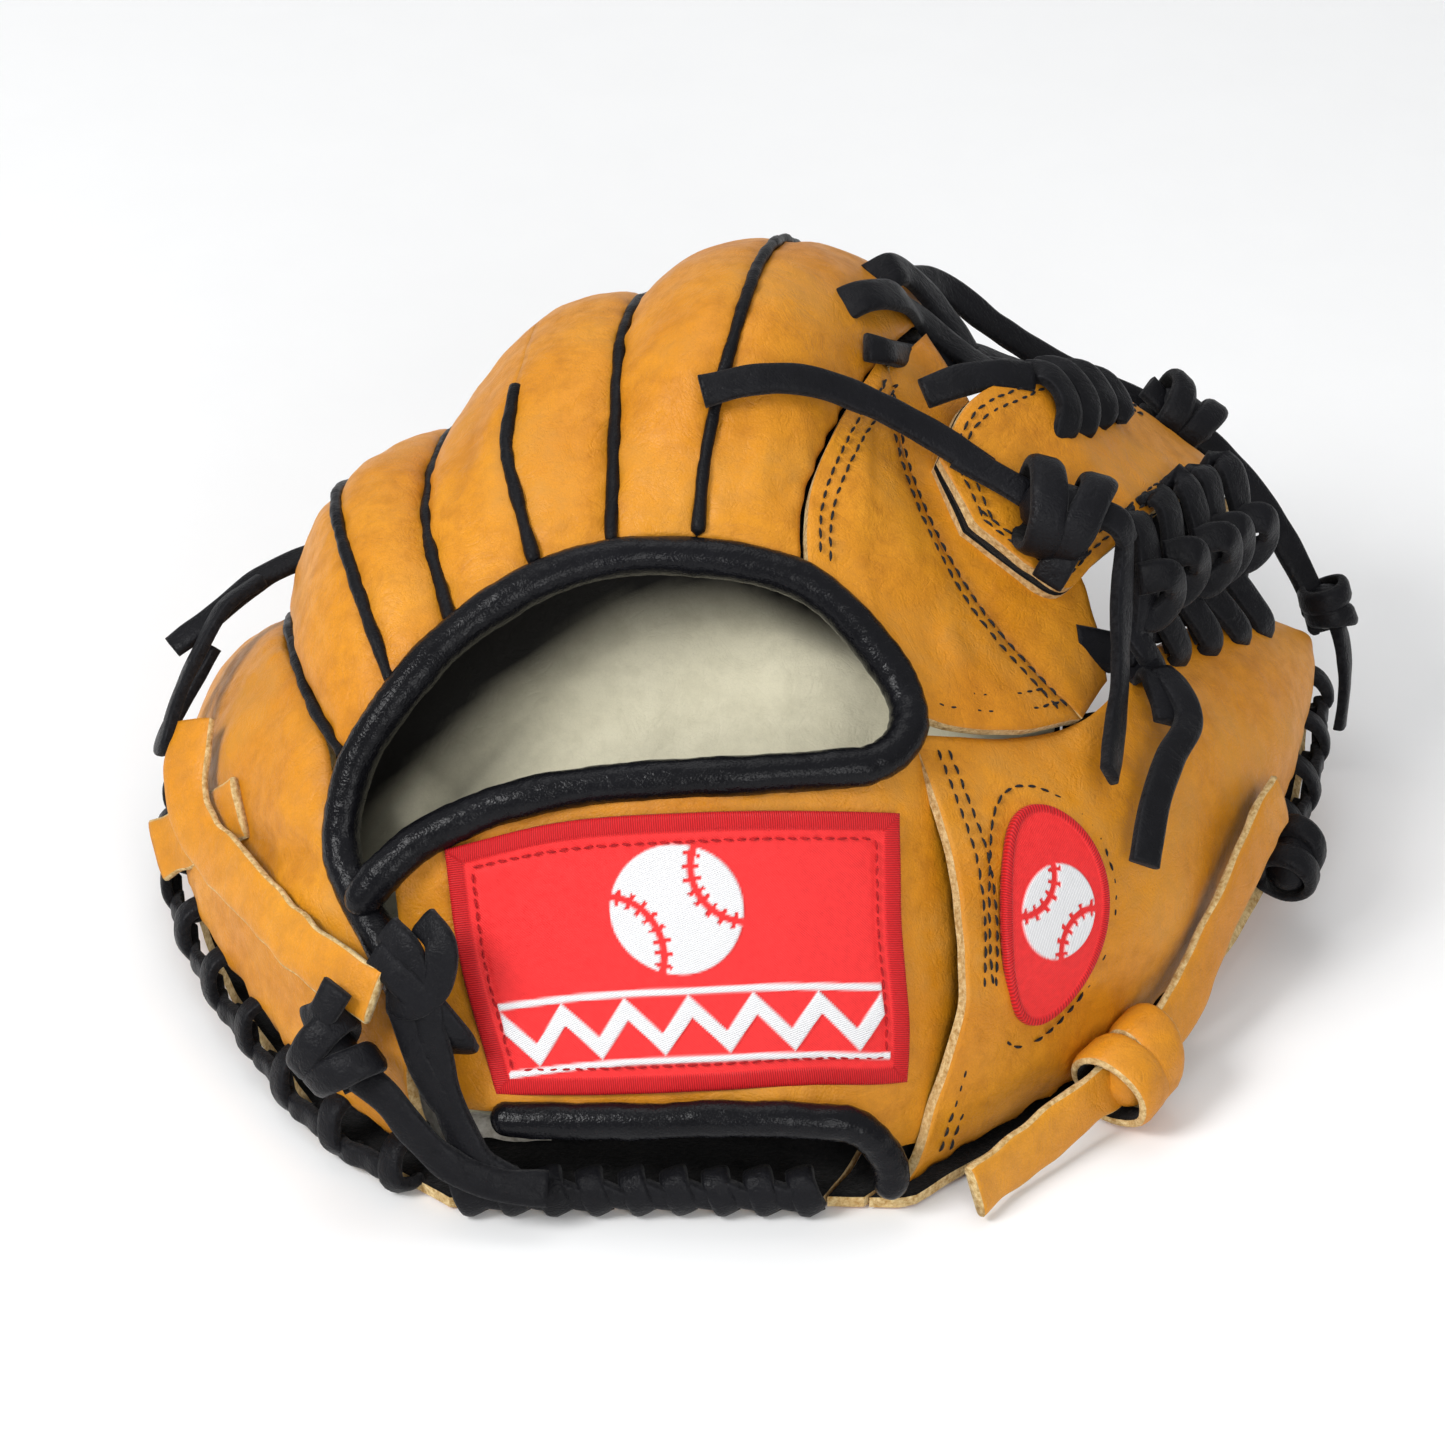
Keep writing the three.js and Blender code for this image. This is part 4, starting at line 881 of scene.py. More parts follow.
def ball_figure(x, y, radius, turn):
    """A plain ball: a white disc with two curved seams left red."""
    x, y = x * math.cos(turn) + y * math.sin(turn), y * math.cos(turn) - x * math.sin(turn)
    inside = np.clip((radius - np.hypot(x, y)) / 0.3, 0, 1)
    for side in (-1, 1):
        seam = np.abs(np.hypot(x - side * radius * 1.25, y) - radius * 0.85)
        inside = inside * np.clip((seam - 0.55) / 0.3, 0, 1)
        angle = np.arctan2(y, x - side * radius * 1.25) * radius * 0.85
        ticks = (np.abs(np.mod(angle, 2.4) - 1.2) < 0.4) & (seam < 1.6)
        inside = np.where(ticks, 0, inside)
    return inside


def zigzag_figure(x, y, half, period, swing, thick):
    saw = np.abs(np.mod(x, period) / period * 2 - 1) * 2 - 1
    line = np.clip((thick - np.abs(y - swing * saw)) / 0.3, 0, 1)
    return line * np.clip((half - np.abs(x)) / 0.3, 0, 1)


def wrist_figure(x, y, half=36):
    """A ball over a zigzag between two lines."""
    figure = np.maximum(ball_figure(x, y - 8.5, 12.5, 0.5), zigzag_figure(x, y + 13.5, half, 12.0, 3.6, 2.3))
    for offset in (-20.2, -7.0):
        line = np.clip((0.8 - np.abs(y - offset)) / 0.3, 0, 1) * (np.abs(x) < half)
        figure = np.maximum(figure, line * (np.hypot(x, y - 8.5) > 14.5))
    return figure


def patch_area(u, t):
    """The strap inside the patch's outline, a little narrower below and higher at the bottom right."""
    left, right = 0.088 * (1 - t), 0.98 - 0.015 * t - 0.055 * np.sin(np.pi * t)
    return strap(left * (1 - u) + right * u, 0.14 * u**3 * (1 - t) + (1 - 0.03 * u**6) * t)


def wrist_embroidery():
    grid, _, _ = rows_of(patch_area, (0, 1), (0, 1), (0, 0), 140, 250)
    normal = normals_of(grid)
    left, right, first, last = edges_of(grid)
    x, y = left - left[:, -1:] / 2, first - first[-1:] / 2
    beside_end, beside_side = np.minimum(left, right), np.minimum(first, last)
    edge = np.minimum(beside_end, beside_side)
    figure = np.clip(wrist_figure(x, y), 0, 1)
    rim = np.clip((WRIST_BORDER - edge) / 0.4, 0, 1)
    half = WRIST_BORDER / 2
    satin = 0.5 * np.sqrt(np.clip(1 - ((edge - half) / half) ** 2, 0, 1)) * rim
    groove = 0.15 * np.exp(-(((edge - WRIST_BORDER - 1.6) / 0.5) ** 2))
    top = PATCH_HIGH + satin + FIGURE_LIFT * figure - groove
    top = top + 0.08 * ripple(grid.reshape(-1, 3), 14, 3).reshape(edge.shape)
    vertices, faces, _ = slab(grid + normal * PATCH_LOW, grid + normal * top[..., None])
    turned = np.where(beside_end < beside_side, y, x)
    marks = twice(run=x, rise=y, turn=turned, white=figure, rim=rim)
    made = piece("wrist_embroidery", vertices, faces, PATCH_LOOK, None, marks)
    return settle(made, ["wrist_patch"])


def disc(surface, middle, spread, rings, sides, scale=1.0):
    """Points and normals on a surface inside an oval; the first row is its middle."""
    share = np.linspace(0, 1, rings + 1)[:, None] * scale
    turn = np.linspace(0, 2 * np.pi, sides + 1)[None]
    u = middle[0] + spread[0] * share * np.cos(turn)
    t = middle[1] + spread[1] * share * np.sin(turn)
    shape, u, t = (*u.shape, 3), u.ravel(), t.ravel()
    step = 0.004
    du = surface(u + step, t) - surface(u - step, t)
    dt = surface(u, t + step) - surface(u, np.maximum(t - step, 0))
    return surface(u, t).reshape(shape), unit(np.cross(du, dt)).reshape(shape)


def oval_embroidery(rings=60, sides=200):
    spot, normal = disc(thumb_back, OVAL_MIDDLE, OVAL_SPREAD, rings, sides)
    middle = spot[0, 0]
    right = unit(spot[-1, 0] - middle)
    above = unit(np.cross(normal[0, 0], right))
    x, y = (spot - middle) @ right, (spot - middle) @ above
    reach = np.linalg.norm(spot - middle, axis=2)
    edge = reach[-1:] - reach
    figure = ball_figure(x, y, 9.0, 0.9)
    rim = np.clip((OVAL_BORDER - edge) / 0.4, 0, 1)
    half = OVAL_BORDER / 2
    satin = 0.4 * np.sqrt(np.clip(1 - ((edge - half) / half) ** 2, 0, 1)) * rim
    top = OVAL_HIGH + satin + FIGURE_LIFT * figure
    top[-1] = 1.0
    lower, upper = spot + normal * OVAL_LOW, spot + normal * (OVAL_LOW + top)[..., None]
    n = (rings + 1) * (sides + 1)
    k = np.arange(n).reshape(rings + 1, sides + 1)
    k[:, -1] = k[:, 0]
    k[0] = 0
    top_faces = np.stack([k[:-1, :-1], k[1:, :-1], k[1:, 1:], k[:-1, 1:]], -1).reshape(-1, 4)
    faces = top_faces.tolist() + (top_faces[:, ::-1] + n).tolist()
    faces += [[a + n, b + n, b, a] for a, b in zip(k[-1, :-1], k[-1, 1:])]
    faces = [[i for j, i in enumerate(f) if i not in f[:j]] for f in faces]
    marks = twice(run=x, rise=y, turn=np.arctan2(y, x) * 12, white=figure, rim=rim)
    made = piece("thumb_embroidery", both(upper, lower), faces, PATCH_LOOK, None, marks)
    mesh = bmesh.new()
    mesh.from_mesh(made.data)
    bmesh.ops.delete(mesh, geom=[v for v in mesh.verts if not v.link_faces], context="VERTS")
    mesh.to_mesh(made.data)
    mesh.free()
    return settle(made, ["thumb_patch"])


wrist_embroidery()
oval_embroidery()

# ---- Stitching --------------------------------------------------------------------------------------------
def double(surface, along, side, lift, first, step=2.6):
    """Two rows beside an edge, first and first + step mm in."""
    return [beside(surface, trim, along, side, lift) for trim in (first, first + step)]


def level_rows(surface, across, heights, lift):
    """Rows across a surface, each at one share of its length."""
    return [on_surface(surface, across, (t, t), lift) for t in heights]


CROTCH_LIFT = OVERLAP + 0.35
stitch_rows("crotch_seam_left", double(crotch, (0.12, 0.96), "left", CROTCH_LIFT, 3.2), 1)
stitch_rows("crotch_seam_right", double(crotch, (0.03, 0.93), "right", CROTCH_LIFT, 2.0), 2)
stitch_rows("crotch_seam_bottom", level_rows(crotch, (0.47, 0.97), (0.05, 0.095), CROTCH_LIFT), 3)
stitch_rows("strap_seam", level_rows(thumb_back, (0.03, 0.97), (0.028, 0.045), 0.5), 4)
ring, ring_normal = disc(thumb_back, OVAL_MIDDLE, OVAL_SPREAD, 1, 180, 1.2)
stitch_rows("oval_seam", [(ring[1] + ring_normal[1] * 0.5, ring_normal[1])], 5)
NEAR, FAR, LOW, HIGH = 0.058, 0.942, 0.1, 0.9  # the patch's inner stitching, in shares of its size
inner = [on_surface(patch_area, us, ts, PATCH_HIGH + 0.1) for us, ts in (
    ((NEAR, NEAR), (LOW, HIGH)), ((NEAR, FAR), (HIGH, HIGH)), ((FAR, FAR), (HIGH, LOW)),
    ((FAR, NEAR), (LOW, LOW)))]
stitch_rows("patch_seam", inner, 6, RED_THREAD, 2.4, 1.8, 0.5)

# ---- Palm leather, pads and lining ------------------------------------------------------------------------
FREE_EDGES = (0, 0, 0, 0)
for name, surface, node, trim, bottom, pitch, seed in (
        ("palm_leather", palm, "palm_shell", (0, 1), 0, 2.4, 91),
        ("thumb_palm_leather", thumb_side, "thumb_palm_shell", (1, 0), 0, 2.4, 92),
        ("palm_fold_leather", fold, "palm_crease", (0, 0), 0.1, 2.0, 93)):
    panel(name, surface, [node], PALM_SHEET, layer=(bottom, bottom + LEATHER), trim=trim,
          dips=FREE_EDGES, soft=0.0, pitch=pitch, seed=seed)
LINING_LOW = PAD_BASE + PAD + 1.2


def lining_shade(t, from_left):
    """Painted shadow: the deep end of the hand opening darkens towards the finger stalls."""
    start = np.interp(from_left, (0, 16, 32, 48, 64, 90, 112, 128),
                      (0.36, 0.4, 0.43, 0.445, 0.46, 0.465, 0.45, 0.42))
    return np.clip((t - start) / 0.045, 0, 1)


panel("lining_leather", palm, ["palm_lining"], [LINING_LOOK] * 3,
      along=(0.07, 0.66), across=(0.1, 1), shade=lining_shade, trim=(14, 3),
      layer=(LINING_LOW, LINING_LOW + LINING), dips=FREE_EDGES, soft=0.5, pitch=2.2, seed=94)
for name, node, surface, thick, along, across, trim in (
        ("pinky_pad", "pinky_heel_pad", palm, PAD, (0.1, 0.4), (0.14, 0.34), (0, 0)),
        ("palm_felt", "palm_pad", palm, FELT, (0.1, 0.6), (0.38, 1), (0, 8)),
        ("thumb_pad", "thumb_heel_pad", thumb_side, PAD, (0.22, 0.46), (0.26, 0.45), (0, 0))):
    pad = panel(name, surface, [node], [FELT_LOOK] * 3, along, across, trim,
                (PAD_BASE, PAD_BASE + thick), dips=(1, 1, 1, 1), puff=-0.4, soft=0.2, pitch=2.0,
                seed=len(name))

STALL_SIDES = 28


def stall(name, node, surface, along, height, share, drop=2.2, middle=0.5):
    """A finger's lining: an open cup under the back leather."""
    steps = np.linspace(0, 1, 26)

    def rings(shrink, last):
        out = []
        for step in steps:
            t = along[0] + (last - along[0]) * step
            taper = 1 - 0.35 * step**3
            at = lambda u, v: surface(np.array([u]), np.array([min(v, 1.0)]))[0]
            left, right = at(0.04, t), at(0.96, t)
            ahead = unit(at(middle, t + 0.03) - at(middle, t - 0.03))
            side = right - left
            half = np.linalg.norm(side) / 2 * share * taper - shrink
            side = unit(side - ahead * (side @ ahead))
            up = unit(np.cross(side, ahead))
            tall = height * taper / 2 - shrink
            centre = at(middle, t) - up * (LEATHER + drop + height * taper / 2)
            turn = np.linspace(0, 2 * np.pi, STALL_SIDES, endpoint=False)
            out.append(centre + np.outer(half * np.cos(turn), side) + np.outer(tall * np.sin(turn), up))
        return np.array(out)

    outer, inner = rings(0, along[1]), rings(LINING, along[1] - 0.02)
    for shell in (outer, inner):
        slack = 0.3 * ripple(shell.reshape(-1, 3), 15, 7)
        shell += unit(shell - shell.mean(1, keepdims=True)) * slack.reshape(*shell.shape[:2], 1)
    n = outer.shape[0] * STALL_SIDES
    k = np.arange(n).reshape(-1, STALL_SIDES)
    nxt = np.roll(k, -1, 1)
    wall = np.stack([k[:-1], k[1:], nxt[1:], nxt[:-1]], -1).reshape(-1, 4)
    faces = wall.tolist() + (wall[:, ::-1] + n).tolist()
    faces += [k[-1][::-1].tolist(), (k[-1] + n).tolist()]
    faces += [[int(a), int(b), int(b + n), int(a + n)] for a, b in zip(k[0], nxt[0])]
    vertices = both(outer, inner)
    made = piece(name, vertices, faces, LINING_LOOK, None, unworn(vertices))
    return settle(made, [node])


stall("pinky_lining", "pinky_stall", pinky_back, (0.42, 0.86), 14, 0.5, 3)
stall("ring_lining", "ring_stall", ring_back, (0.2, 0.66), 14, 0.64, 3.4)
stall("middle_lining", "middle_stall", middle_back, (0.2, 0.8), 17, 0.76)
stall("index_lining", "index_stall", index_back, (0.2, 0.68), 15, 0.7)
stall("thumb_lining", "thumb_stall", thumb_back, (0.4, 0.8), 9, 0.55, 2.4)

# ---- Web --------------------------------------------------------------------------------------------------
POST_BOTTOM = 1.2  # underside of the post's back leather, over the filler
POST_TOP = POST_BOTTOM + LEATHER
panel("web_post_leather", post, ["web_post_back"], layer=(POST_BOTTOM, POST_TOP),
      dips=(0.2, 0.2, 0.2, 0), puff=0.3, pitch=1.2, seed=101)
panel("web_front_leather", post, ["web_post_front"], PALM_SHEET,
      layer=(-3.0, -0.7), dips=FREE_EDGES, pitch=1.4, seed=102)
panel("web_post_filler", post, (), [SUEDE] * 3, along=(0.006, 0.45), trim=(0.6, 0.6),
      layer=(-0.6, 1.1), dips=FREE_EDGES, pitch=1.6, seed=103)
POST_LIFT = POST_TOP + 0.45
stitch_rows("post_seam_left", double(post, (0.03, 0.7), "left", POST_LIFT, 2.6, 2.2), 11)
stitch_rows("post_seam_right", double(post, (0.03, 0.9), "right", POST_LIFT, 2.6, 2.2), 12)
stitch_rows("post_seam_end", level_rows(post, (0.1, 0.9), (0.035, 0.065), POST_LIFT), 13)


def over(surface, marks):
    """Points at (u, t, height) marks on a surface."""
    out = []
    for u, t, height in marks:
        p, n = on_surface(surface, (u, u), (t, t), 0, 2)
        out.append(tuple(p[0] + n[0] * height))
    return out


def index_lacing():
    """Broad wraps over the index edge, dark runs behind them, and loops over the post's left edge."""
    out = (0.6, -0.2, 0.75)
    routes = [
        (over(index_back, [(0.83, 0.50, -1.5), (0.86, 0.51, 2.8)])
         + [(43.2, 152, 118), (49, 154, 111), (53.5, 152.5, 105), (57, 149, 101)], out, 7.4),
        (over(index_back, [(0.83, 0.37, -1.5), (0.86, 0.385, 2.6), (0.92, 0.43, 3.6)])
         + [(45.5, 142.5, 113.2), (51, 143, 107.5), (57, 141, 103.8), (63, 137, 102)], out, 7.4),
        (over(index_back, [(0.95, 0.33, 1.6), (0.985, 0.35, 3.0)]) + [(43, 127, 112), (49, 132, 108)],
         (0.5, -0.6, 0.6), TIE_WIDTH),
        ([(42, 133, 109), (49, 138, 105.5), (57, 142, 101), (66, 145, 97.5), (78, 152, 91)],
         (0.5, -0.3, 0.8), 7.5),
        ([(40, 140, 110), (48, 147, 104), (58, 152, 99), (70, 157, 92)], (0.5, 0.2, 0.8), 7.5),
        (over(post, [(0, 0.22, 0.6), (0, 0.32, 0.2), (0, 0.42, 0), (0, 0.52, 0), (0, 0.6, -1)]),
         (0.2, 0.8, 0.5), 5.0)]
    for u, t, edge in ((0.36, 0.335, 0.31), (0.37, 0.395, 0.365), (0.32, 0.46, 0.44), (0.26, 0.52, 0.5)):
        routes.append((over(post, [
            (0.03, edge - 0.02, -2.0), (0, edge - 0.006, 2.6), (0.05, edge + 0.012, POST_TOP + 2.2),
            (0.16, (edge + t) / 2 + 0.022, POST_TOP + 3.0), (0.28, t + 0.014, POST_TOP + 2.6),
            (u, t, POST_TOP + 0.8), (u + 0.04, t, 1.0)]), (0.62, -0.3, 0.72), 6.0))
    laces("index_web_laces", routes, "web_index_lace")


def thumb_lacing():
    """Five pairs of loops that tie the post's right edge to the thumb, and the runs between them."""
    draw = np.random.default_rng(12)
    post_holes = ((0.9, 0.425), (0.9, 0.53), (0.9, 0.63), (0.88, 0.73), (0.88, 0.83))
    thumb_holes = ((0.02, 0.47), (0.03, 0.55), (0.06, 0.63), (0.09, 0.71), (0.1, 0.79))
    away = np.array([0.62, -0.62, 0.25])
    turn = np.array([[-5.5, -2.5, 2.5], [-1.5, -2.2, 5.2], [4.4, 1.2, 4.4], [5.6, 2.2, -1.4],
                     [1.5, -0.5, -5.4], [-4.5, -3, -4.4]])
    routes = []
    for number, ((u, t), (v, w)) in enumerate(zip(post_holes, thumb_holes)):
        a, over_a, out_a = map(np.array, over(post, [
            (u, t, 0.5), (u + 0.04, t + 0.004, POST_TOP + 2.6), (1, t + 0.016, POST_TOP + 2.0)]))
        b, over_b, out_b = map(np.array, over(thumb_back, [
            (v + 0.05, w, -1.0), (v + 0.04, w, 2.4), (0, w - 0.012, 3.4)]))
        middle = (out_a + out_b) / 2 + away * 3.5 + draw.uniform(-1.2, 1.2, 3)
        routes.append(([a, over_a, out_a + away * 1.6, out_a * 0.5 + middle * 0.5 + away * 2.4,
                        middle + away * 0.6, out_b + away * 0.5 - [0, 0, 1.5]], (0.75, -0.5, 0.45), 7.2))
        loop = middle + away * 1.8 + draw.uniform(0.85, 1.15) * turn
        routes.append(([b, over_b, *loop[:1:-1], loop[1] - away * 2.5], (0.7, -0.6, 0.4), 6.2))
        if number + 1 < len(post_holes):
            nxt = np.array(over(post, [(1, post_holes[number + 1][1], 1.0)])[0])
            routes.append(([over_b - away * 1.5, out_b * 0.6 + nxt * 0.4 - away * 2, nxt - away * 1.2,
                            nxt + [0, 0, 1]], (0.6, -0.5, 0.6), 6.0))
    routes.append(([(84, 87, 67), (79.5, 85.5, 69.5), (76, 84, 71)], (0.5, -0.7, 0.5), 8.0))
    routes.append(([(88, 88, 63), (91.5, 84, 64), (93, 79, 64.5), (94, 75, 63), (94.5, 71, 61)],
                   (0.5, -0.7, 0.5), 8.0))
    laces("thumb_web_laces", routes, "web_thumb_lace")


index_lacing()
thumb_lacing()
laces("web_rim_lace", [([(44, 158, 113), (52, 168, 106), (64, 171, 94.5), (77.2, 172.5, 84.5), (90, 174, 77),
                         (100, 174.5, 71.5), (108.4, 173, 67), (121.8, 169, 53.5), (130.5, 164, 40),
                         (134, 160, 34)], (0.3, -0.6, 0.75), 6.4)], "web_top_lace")
laces("web_rim_knot", [([(106, 165, 75), (100, 165, 79), (96, 166, 83)], (0.4, -0.5, 0.8), 6.0)],
      "web_top_knot",
      extra=knot_parts((104, 166, 75.5), (0.75, -0.1, -0.6), (0.4, -0.5, 0.8), 15, 7.0, 5.4, 6.4, 2.3, 5))
laces("index_knot", [([(52, 98, 106.5), (60, 96, 102.5), (66, 93.5, 100)], (0.35, -0.55, 0.75), 6.2),
                     ([(76, 91, 97), (74, 86.5, 93), (71.5, 84, 89.5), (69.5, 83, 86)],
                      (-0.1, -0.75, 0.65), 6.4),
                     ([(79, 91, 98), (84, 90, 95.5), (86, 90, 91)], (0.5, -0.5, 0.7), 6.2)],
      "index_lace_knot", body=FINGERS,
      extra=knot_parts((72.5, 91.5, 97), (0.95, 0.0, -0.3), (0.2, -0.6, 0.78), 17, 9.4, 6.6, 7.6, 2.4, 9))
laces("web_stub", [([(46, 113, 111.5), (53, 115.5, 113), (61, 119, 112.5), (68, 122.5, 110)],
                    (0.3, -0.6, 0.75), 6.4)], "short_web_tail")
laces("thumb_web_end", [([(93, 83, 65.5), (96, 78, 64.5), (98, 71.5, 61.5), (93.5, 60, 60), (90, 50, 56.5),
                          (87.5, 40, 49)], (0.5, -0.45, 0.75), 6.2)], "thumb_web_tail")

# ---- Laces along the outer edges --------------------------------------------------------------------------
def edge_lacing(upper, lower, alongs, count, side, reach=4.6, width=5.4):
    """Laces that wrap the edge between the back and the palm, and the run between the wraps."""
    routes = []
    marks = np.linspace(alongs[0], alongs[1], count)
    rise = np.array([0, 0, 1.0])

    def centre(t):
        return (upper(t) + lower(t)) / 2

    def out_at(t):
        ahead = upper(t + 0.002) - upper(t - 0.002)
        return unit(np.stack([-side * ahead[:, 1], side * ahead[:, 0], 0 * ahead[:, 0]], 1))

    for t, following in zip(marks, [*marks[1:], None]):
        c, out, top = centre(t)[0], out_at(t)[0], upper(t)[0]
        high = top + rise * 2.4 - out * 3.0
        low = lower(t)[0] - out * 1.0
        low[2] = max(low[2] + 0.8, 1.4)
        mid = c + out * reach
        mid[2] = max(mid[2], 3.2)
        wrap = [high - out * 2.5, high + rise * 0.6, top + rise * 0.9 + out * (reach - 1.8), mid,
                low + out * (reach - 2.0), low]
        routes.append((wrap, lambda p, c=c, out=out: p - (c - out * 6), width))
        if following is not None:
            run = [centre(v)[0] + out_at(v)[0] * (reach - 1.6 + d) + rise * z for v, d, z in
                   zip(np.linspace(t, following, 5), (-0.4, 0.6, 0.2, 0.6, -0.4), (1.6, 0.6, 0, -0.8, -1.6))]
            for p in run:
                p[2] = max(p[2], width / 2 + 0.3)
            routes.append((run, tuple(out_at((t + following) / 2)[0]), width - 0.4))
    return routes


def heel_lacing(wraps=9, first=-42.0, last=22.0):
    """Short wraps over the heel's edge with a run between each two."""
    routes = []
    for i, x in enumerate(np.linspace(first, last, wraps)):
        routes.append(([(x - 1.5, -3.2, 8.5), (x - 1.2, -6.2, 8), (x, -7.6, 5), (x + 1.2, -6.4, 1.8),
                        (x + 1.6, -3.4, 1.4)], (0, -1, 0.1), TIE_WIDTH))
        if i + 1 < wraps:
            routes.append(([(x, -6.4, 6.4), (x + 4, -7.0, 5), (x + 8, -6.4, 3.6)], (0, -1, 0), 5.0))
    return routes


laces("pinky_edge_lacing", edge_lacing(pinky_edge, palm_pinky_edge, (0.05, 0.96), 12, 1),
      "pinky_edge_lace")
laces("thumb_edge_lacing", edge_lacing(thumb_lower, palm_thumb_edge, (0.73, 0.95), 4, -1),
      "thumb_edge_lace")
laces("fingertip_lacing", [([(-95, 166, 9), (-84, 173, 12), (-72, 168, 18), (-58, 176, 28), (-34, 188, 42),
                             (-14, 201, 49), (2, 199, 54), (30, 211, 51), (49, 208, 52), (56, 200, 56)],
                            (0, 1, 0.2), TIE_WIDTH)], "fingertip_lace")
laces("heel_lacing", heel_lacing(), "heel_lace")

# ---- Loops of the pinky and the thumb ---------------------------------------------------------------------
laces("pinky_strap", [([(-59, 4.5, 44), (-64, 9, 44), (-73.5, 20, 43.6), (-83, 35, 43.2), (-90, 47.5, 42),
                        (-96.5, 60, 40.5), (-100, 67, 43), (-101, 74, 48), (-99.5, 82, 54)],
                       (-0.6, -0.62, 0.5), STRAP_WIDTH),
                      ([(-108.5, 78, 25), (-105, 76.5, 28), (-101, 73, 32.5), (-94.5, 66, 41),
                        (-89, 60.5, 48)], (-0.6, -0.65, 0.45), 12.5)],
      "pinky_loop_strap", TAN_SHEET)
laces("pinky_loop", [([(-106, 103, 58), (-98, 107.5, 62.5), (-88, 114, 68), (-79, 119, 70), (-74, 122, 70)],
                      (-0.5, -0.4, 0.75), 5.5),
                     ([(-88, 112, 68.5), (-95, 106, 66), (-100, 98, 60), (-103.5, 90, 55), (-106, 82, 49),
                       (-107.5, 88, 45), (-104, 98, 48), (-98, 106, 56)], (-0.8, -0.3, 0.4), 4.6)],
      "pinky_loop_lace")
laces("strap_lacing", [
    ([(-57, 12, 54), (-53.3, 7.5, 52), (-49.7, 4, 45.7), (-48.5, 1.5, 38), (-47, -1, 29), (-44, -4, 20),
      (-40, -7, 13.5), (-33, -8.5, 9)], (-0.35, -0.9, 0.3), 6.6),
    ([(-50, 11, 57), (-46.5, 6, 55), (-47.5, 3.5, 47), (-52, 3, 43.5), (-56.5, 6, 42)],
     (-0.2, -0.9, 0.35), 6.0),
    ([(-59, 10, 50), (-54.5, 5, 48), (-48, 2.5, 42), (-44, 2, 36), (-43, 4, 32)], (-0.3, -0.9, 0.35), 6.0),
    ([(-54, 4, 41), (-52, 1.5, 34), (-48.5, -1.5, 27), (-44.5, -3, 22)], (-0.4, -0.85, 0.3), TIE_WIDTH)],
      "strap_lace")
laces("strap_knot", [([(-72, 6, 37), (-69, 3.5, 41), (-66, 5, 46)], (-0.5, -0.75, 0.4), 6.4)],
      "strap_lace_knot",
      extra=knot_parts((-67, 2.5, 31.5), (0.6, -0.55, -0.5), (-0.4, -0.8, 0.4), 14, 7.4, 5.4, 6.6, 2.3, 15))
laces("strap_lace_end", [([(-63, 0.5, 29), (-57.4, -3, 26), (-51.8, -6, 19.5), (-45.4, -8.2, 13.8),
                           (-36, -10, 10.5), (-27, -10, 9.5)], (-0.4, -0.8, 0.5), 6.6)],
      "strap_lace_tail")
laces("thumb_tip_knot_lace", [], "thumb_tip_knot",
      extra=knot_parts((137, 157.5, 33), (0.3, -0.3, -0.9), (0.8, -0.5, 0.3), 10, 5, 5, 5.2, 2.0, 25))
laces("thumb_tip_end", [([(137.5, 157, 33), (140, 153.5, 27.5), (141, 151, 21), (141, 149.5, 14),
                          (140.5, 148, 8)], (1, -0.3, 0.2), 6.0)], "thumb_tip_tail")
laces("thumb_edge_knot_lace", [], "thumb_edge_knot",
      extra=knot_parts((123, 86.5, 16.5), (0.35, 0.9, 0.2), (0.9, -0.3, 0.3), 14, 6.2, 5.6, 5.8, 2.2, 35))
laces("thumb_strap", [([(119, 83, 34), (116, 76.5, 34), (112, 68, 31), (107.5, 59.5, 26.5), (102.5, 51.5, 20),
                        (98, 43, 14.5), (93.5, 36, 12), (88, 29, 11)], (0.85, -0.5, 0.3), STRAP_WIDTH)],
      "thumb_loop_strap", TAN_SHEET)
laces("thumb_strap_knot", [], "thumb_loop_knot", TAN_SHEET,
      extra=knot_parts((86, 25.5, 10.5), (0.6, 0.75, 0.1), (0.6, -0.5, 0.6), 16, 8.6, 7.6, 9.5, 2.2, 45))
laces("thumb_strap_end", [([(84, 23.5, 10), (78, 17.5, 9.5), (71.5, 11.5, 8), (65, 5, 6.8), (59, -1, 6.3),
                            (54, -7, 6.2)], (0.8, -0.6, 0.3), STRAP_WIDTH)],
      "thumb_loop_tail", TAN_SHEET)

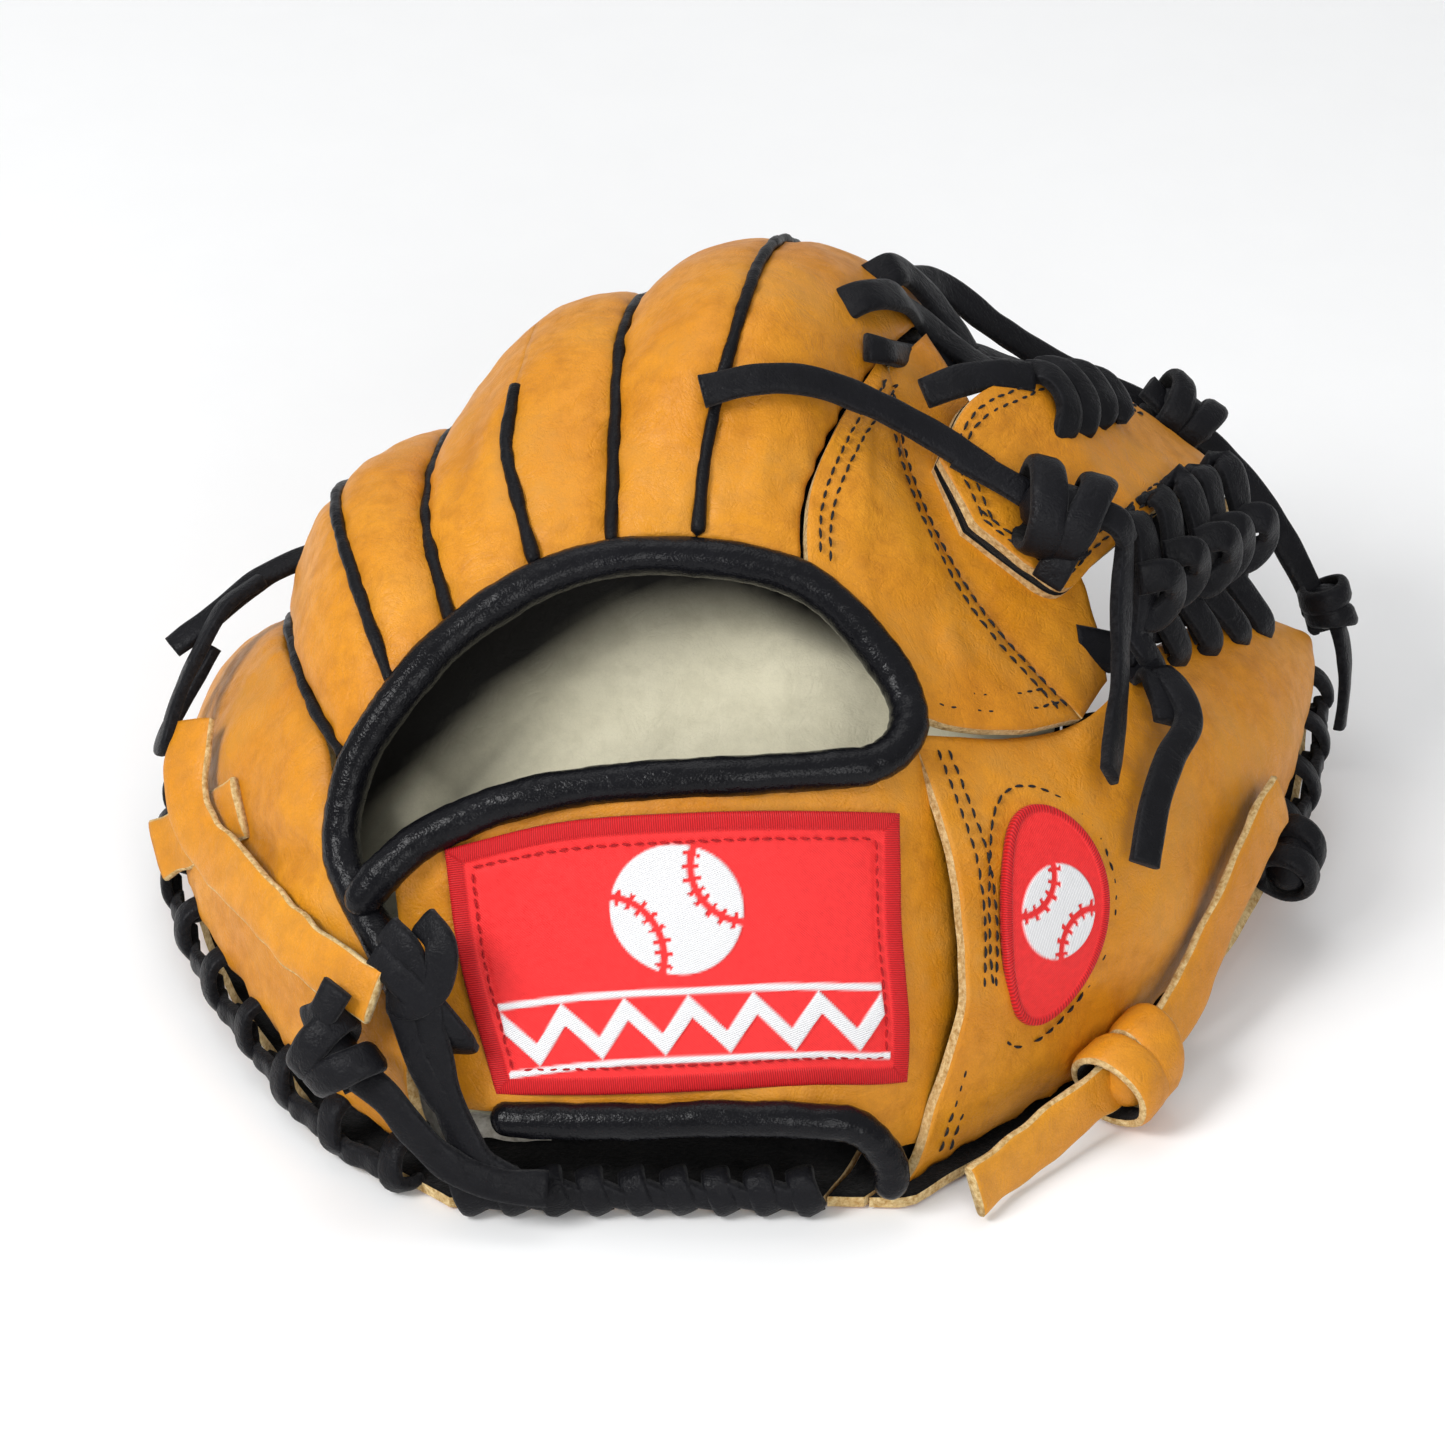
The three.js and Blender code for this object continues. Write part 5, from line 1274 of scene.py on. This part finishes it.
# ---- Floor and light --------------------------------------------------------------------------------------
floor_look = Look("floor")
grain = floor_look.noise(40, 2)
floor_look.finish(floor_look.colour(grain, (0.9, 0.9, 0.9), (0.92, 0.92, 0.92)),
                  floor_look.ramp(grain, 0, 1, 0.7, 0.8), floor_look.bump(grain, 0.02, 0.0005),
                  Specular_IOR_Level=0.1)
sweep = [(-2500, 0), (1500, 0), (1900, 60), (2150, 260), (2250, 600), (2250, 2600)]  # (y, z), a paper sweep
wide = np.linspace(-2600, 2600, 9)
vertices = [(x, y, z - 0.6) for y, z in sweep for x in wide]
k = np.arange(len(vertices)).reshape(len(sweep), 9)
faces = np.stack([k[:-1, :-1], k[:-1, 1:], k[1:, 1:], k[1:, :-1]], -1).reshape(-1, 4)
piece("floor", vertices, faces, floor_look.material)

SKY_LOW, SKY_HIGH = 0.3, 0.6  # strength of the sky near the horizon and overhead
world = bpy.data.worlds.new("studio")
world.use_nodes = True
sky = world.node_tree
direction = sky.nodes.new("ShaderNodeSeparateXYZ")
height = sky.nodes.new("ShaderNodeMapRange")
for socket, value in (("From Min", 0.05), ("From Max", 0.75), ("To Min", SKY_LOW), ("To Max", SKY_HIGH)):
    height.inputs[socket].default_value = value
sky.links.new(sky.nodes.new("ShaderNodeTexCoord").outputs["Generated"], direction.inputs[0])
sky.links.new(direction.outputs["Z"], height.inputs["Value"])
sky.links.new(height.outputs["Result"], sky.nodes["Background"].inputs["Strength"])
sky.nodes["Background"].inputs["Color"].default_value = (0.97, 0.985, 1, 1)
bpy.context.scene.world = world
LIGHTS = (("key", (-0.85, -0.5, 1.0), 0.5, 12.5), ("top", (-0.1, 0.5, 1.4), 0.8, 3.5),
          ("front", (0.4, -1.15, 0.65), 0.6, 6.0))  # name, place and size in m, power in W
for name, place, size, power in LIGHTS:
    light = bpy.data.lights.new(name, "AREA")
    light.size, light.energy = size, power
    lamp = bpy.data.objects.new(name, light)
    lamp.location = place
    lamp.rotation_euler = (TARGET - Vector(place)).to_track_quat("-Z", "Y").to_euler()
    bpy.context.scene.collection.objects.link(lamp)
bpy.context.scene.view_settings.view_transform = "Standard"
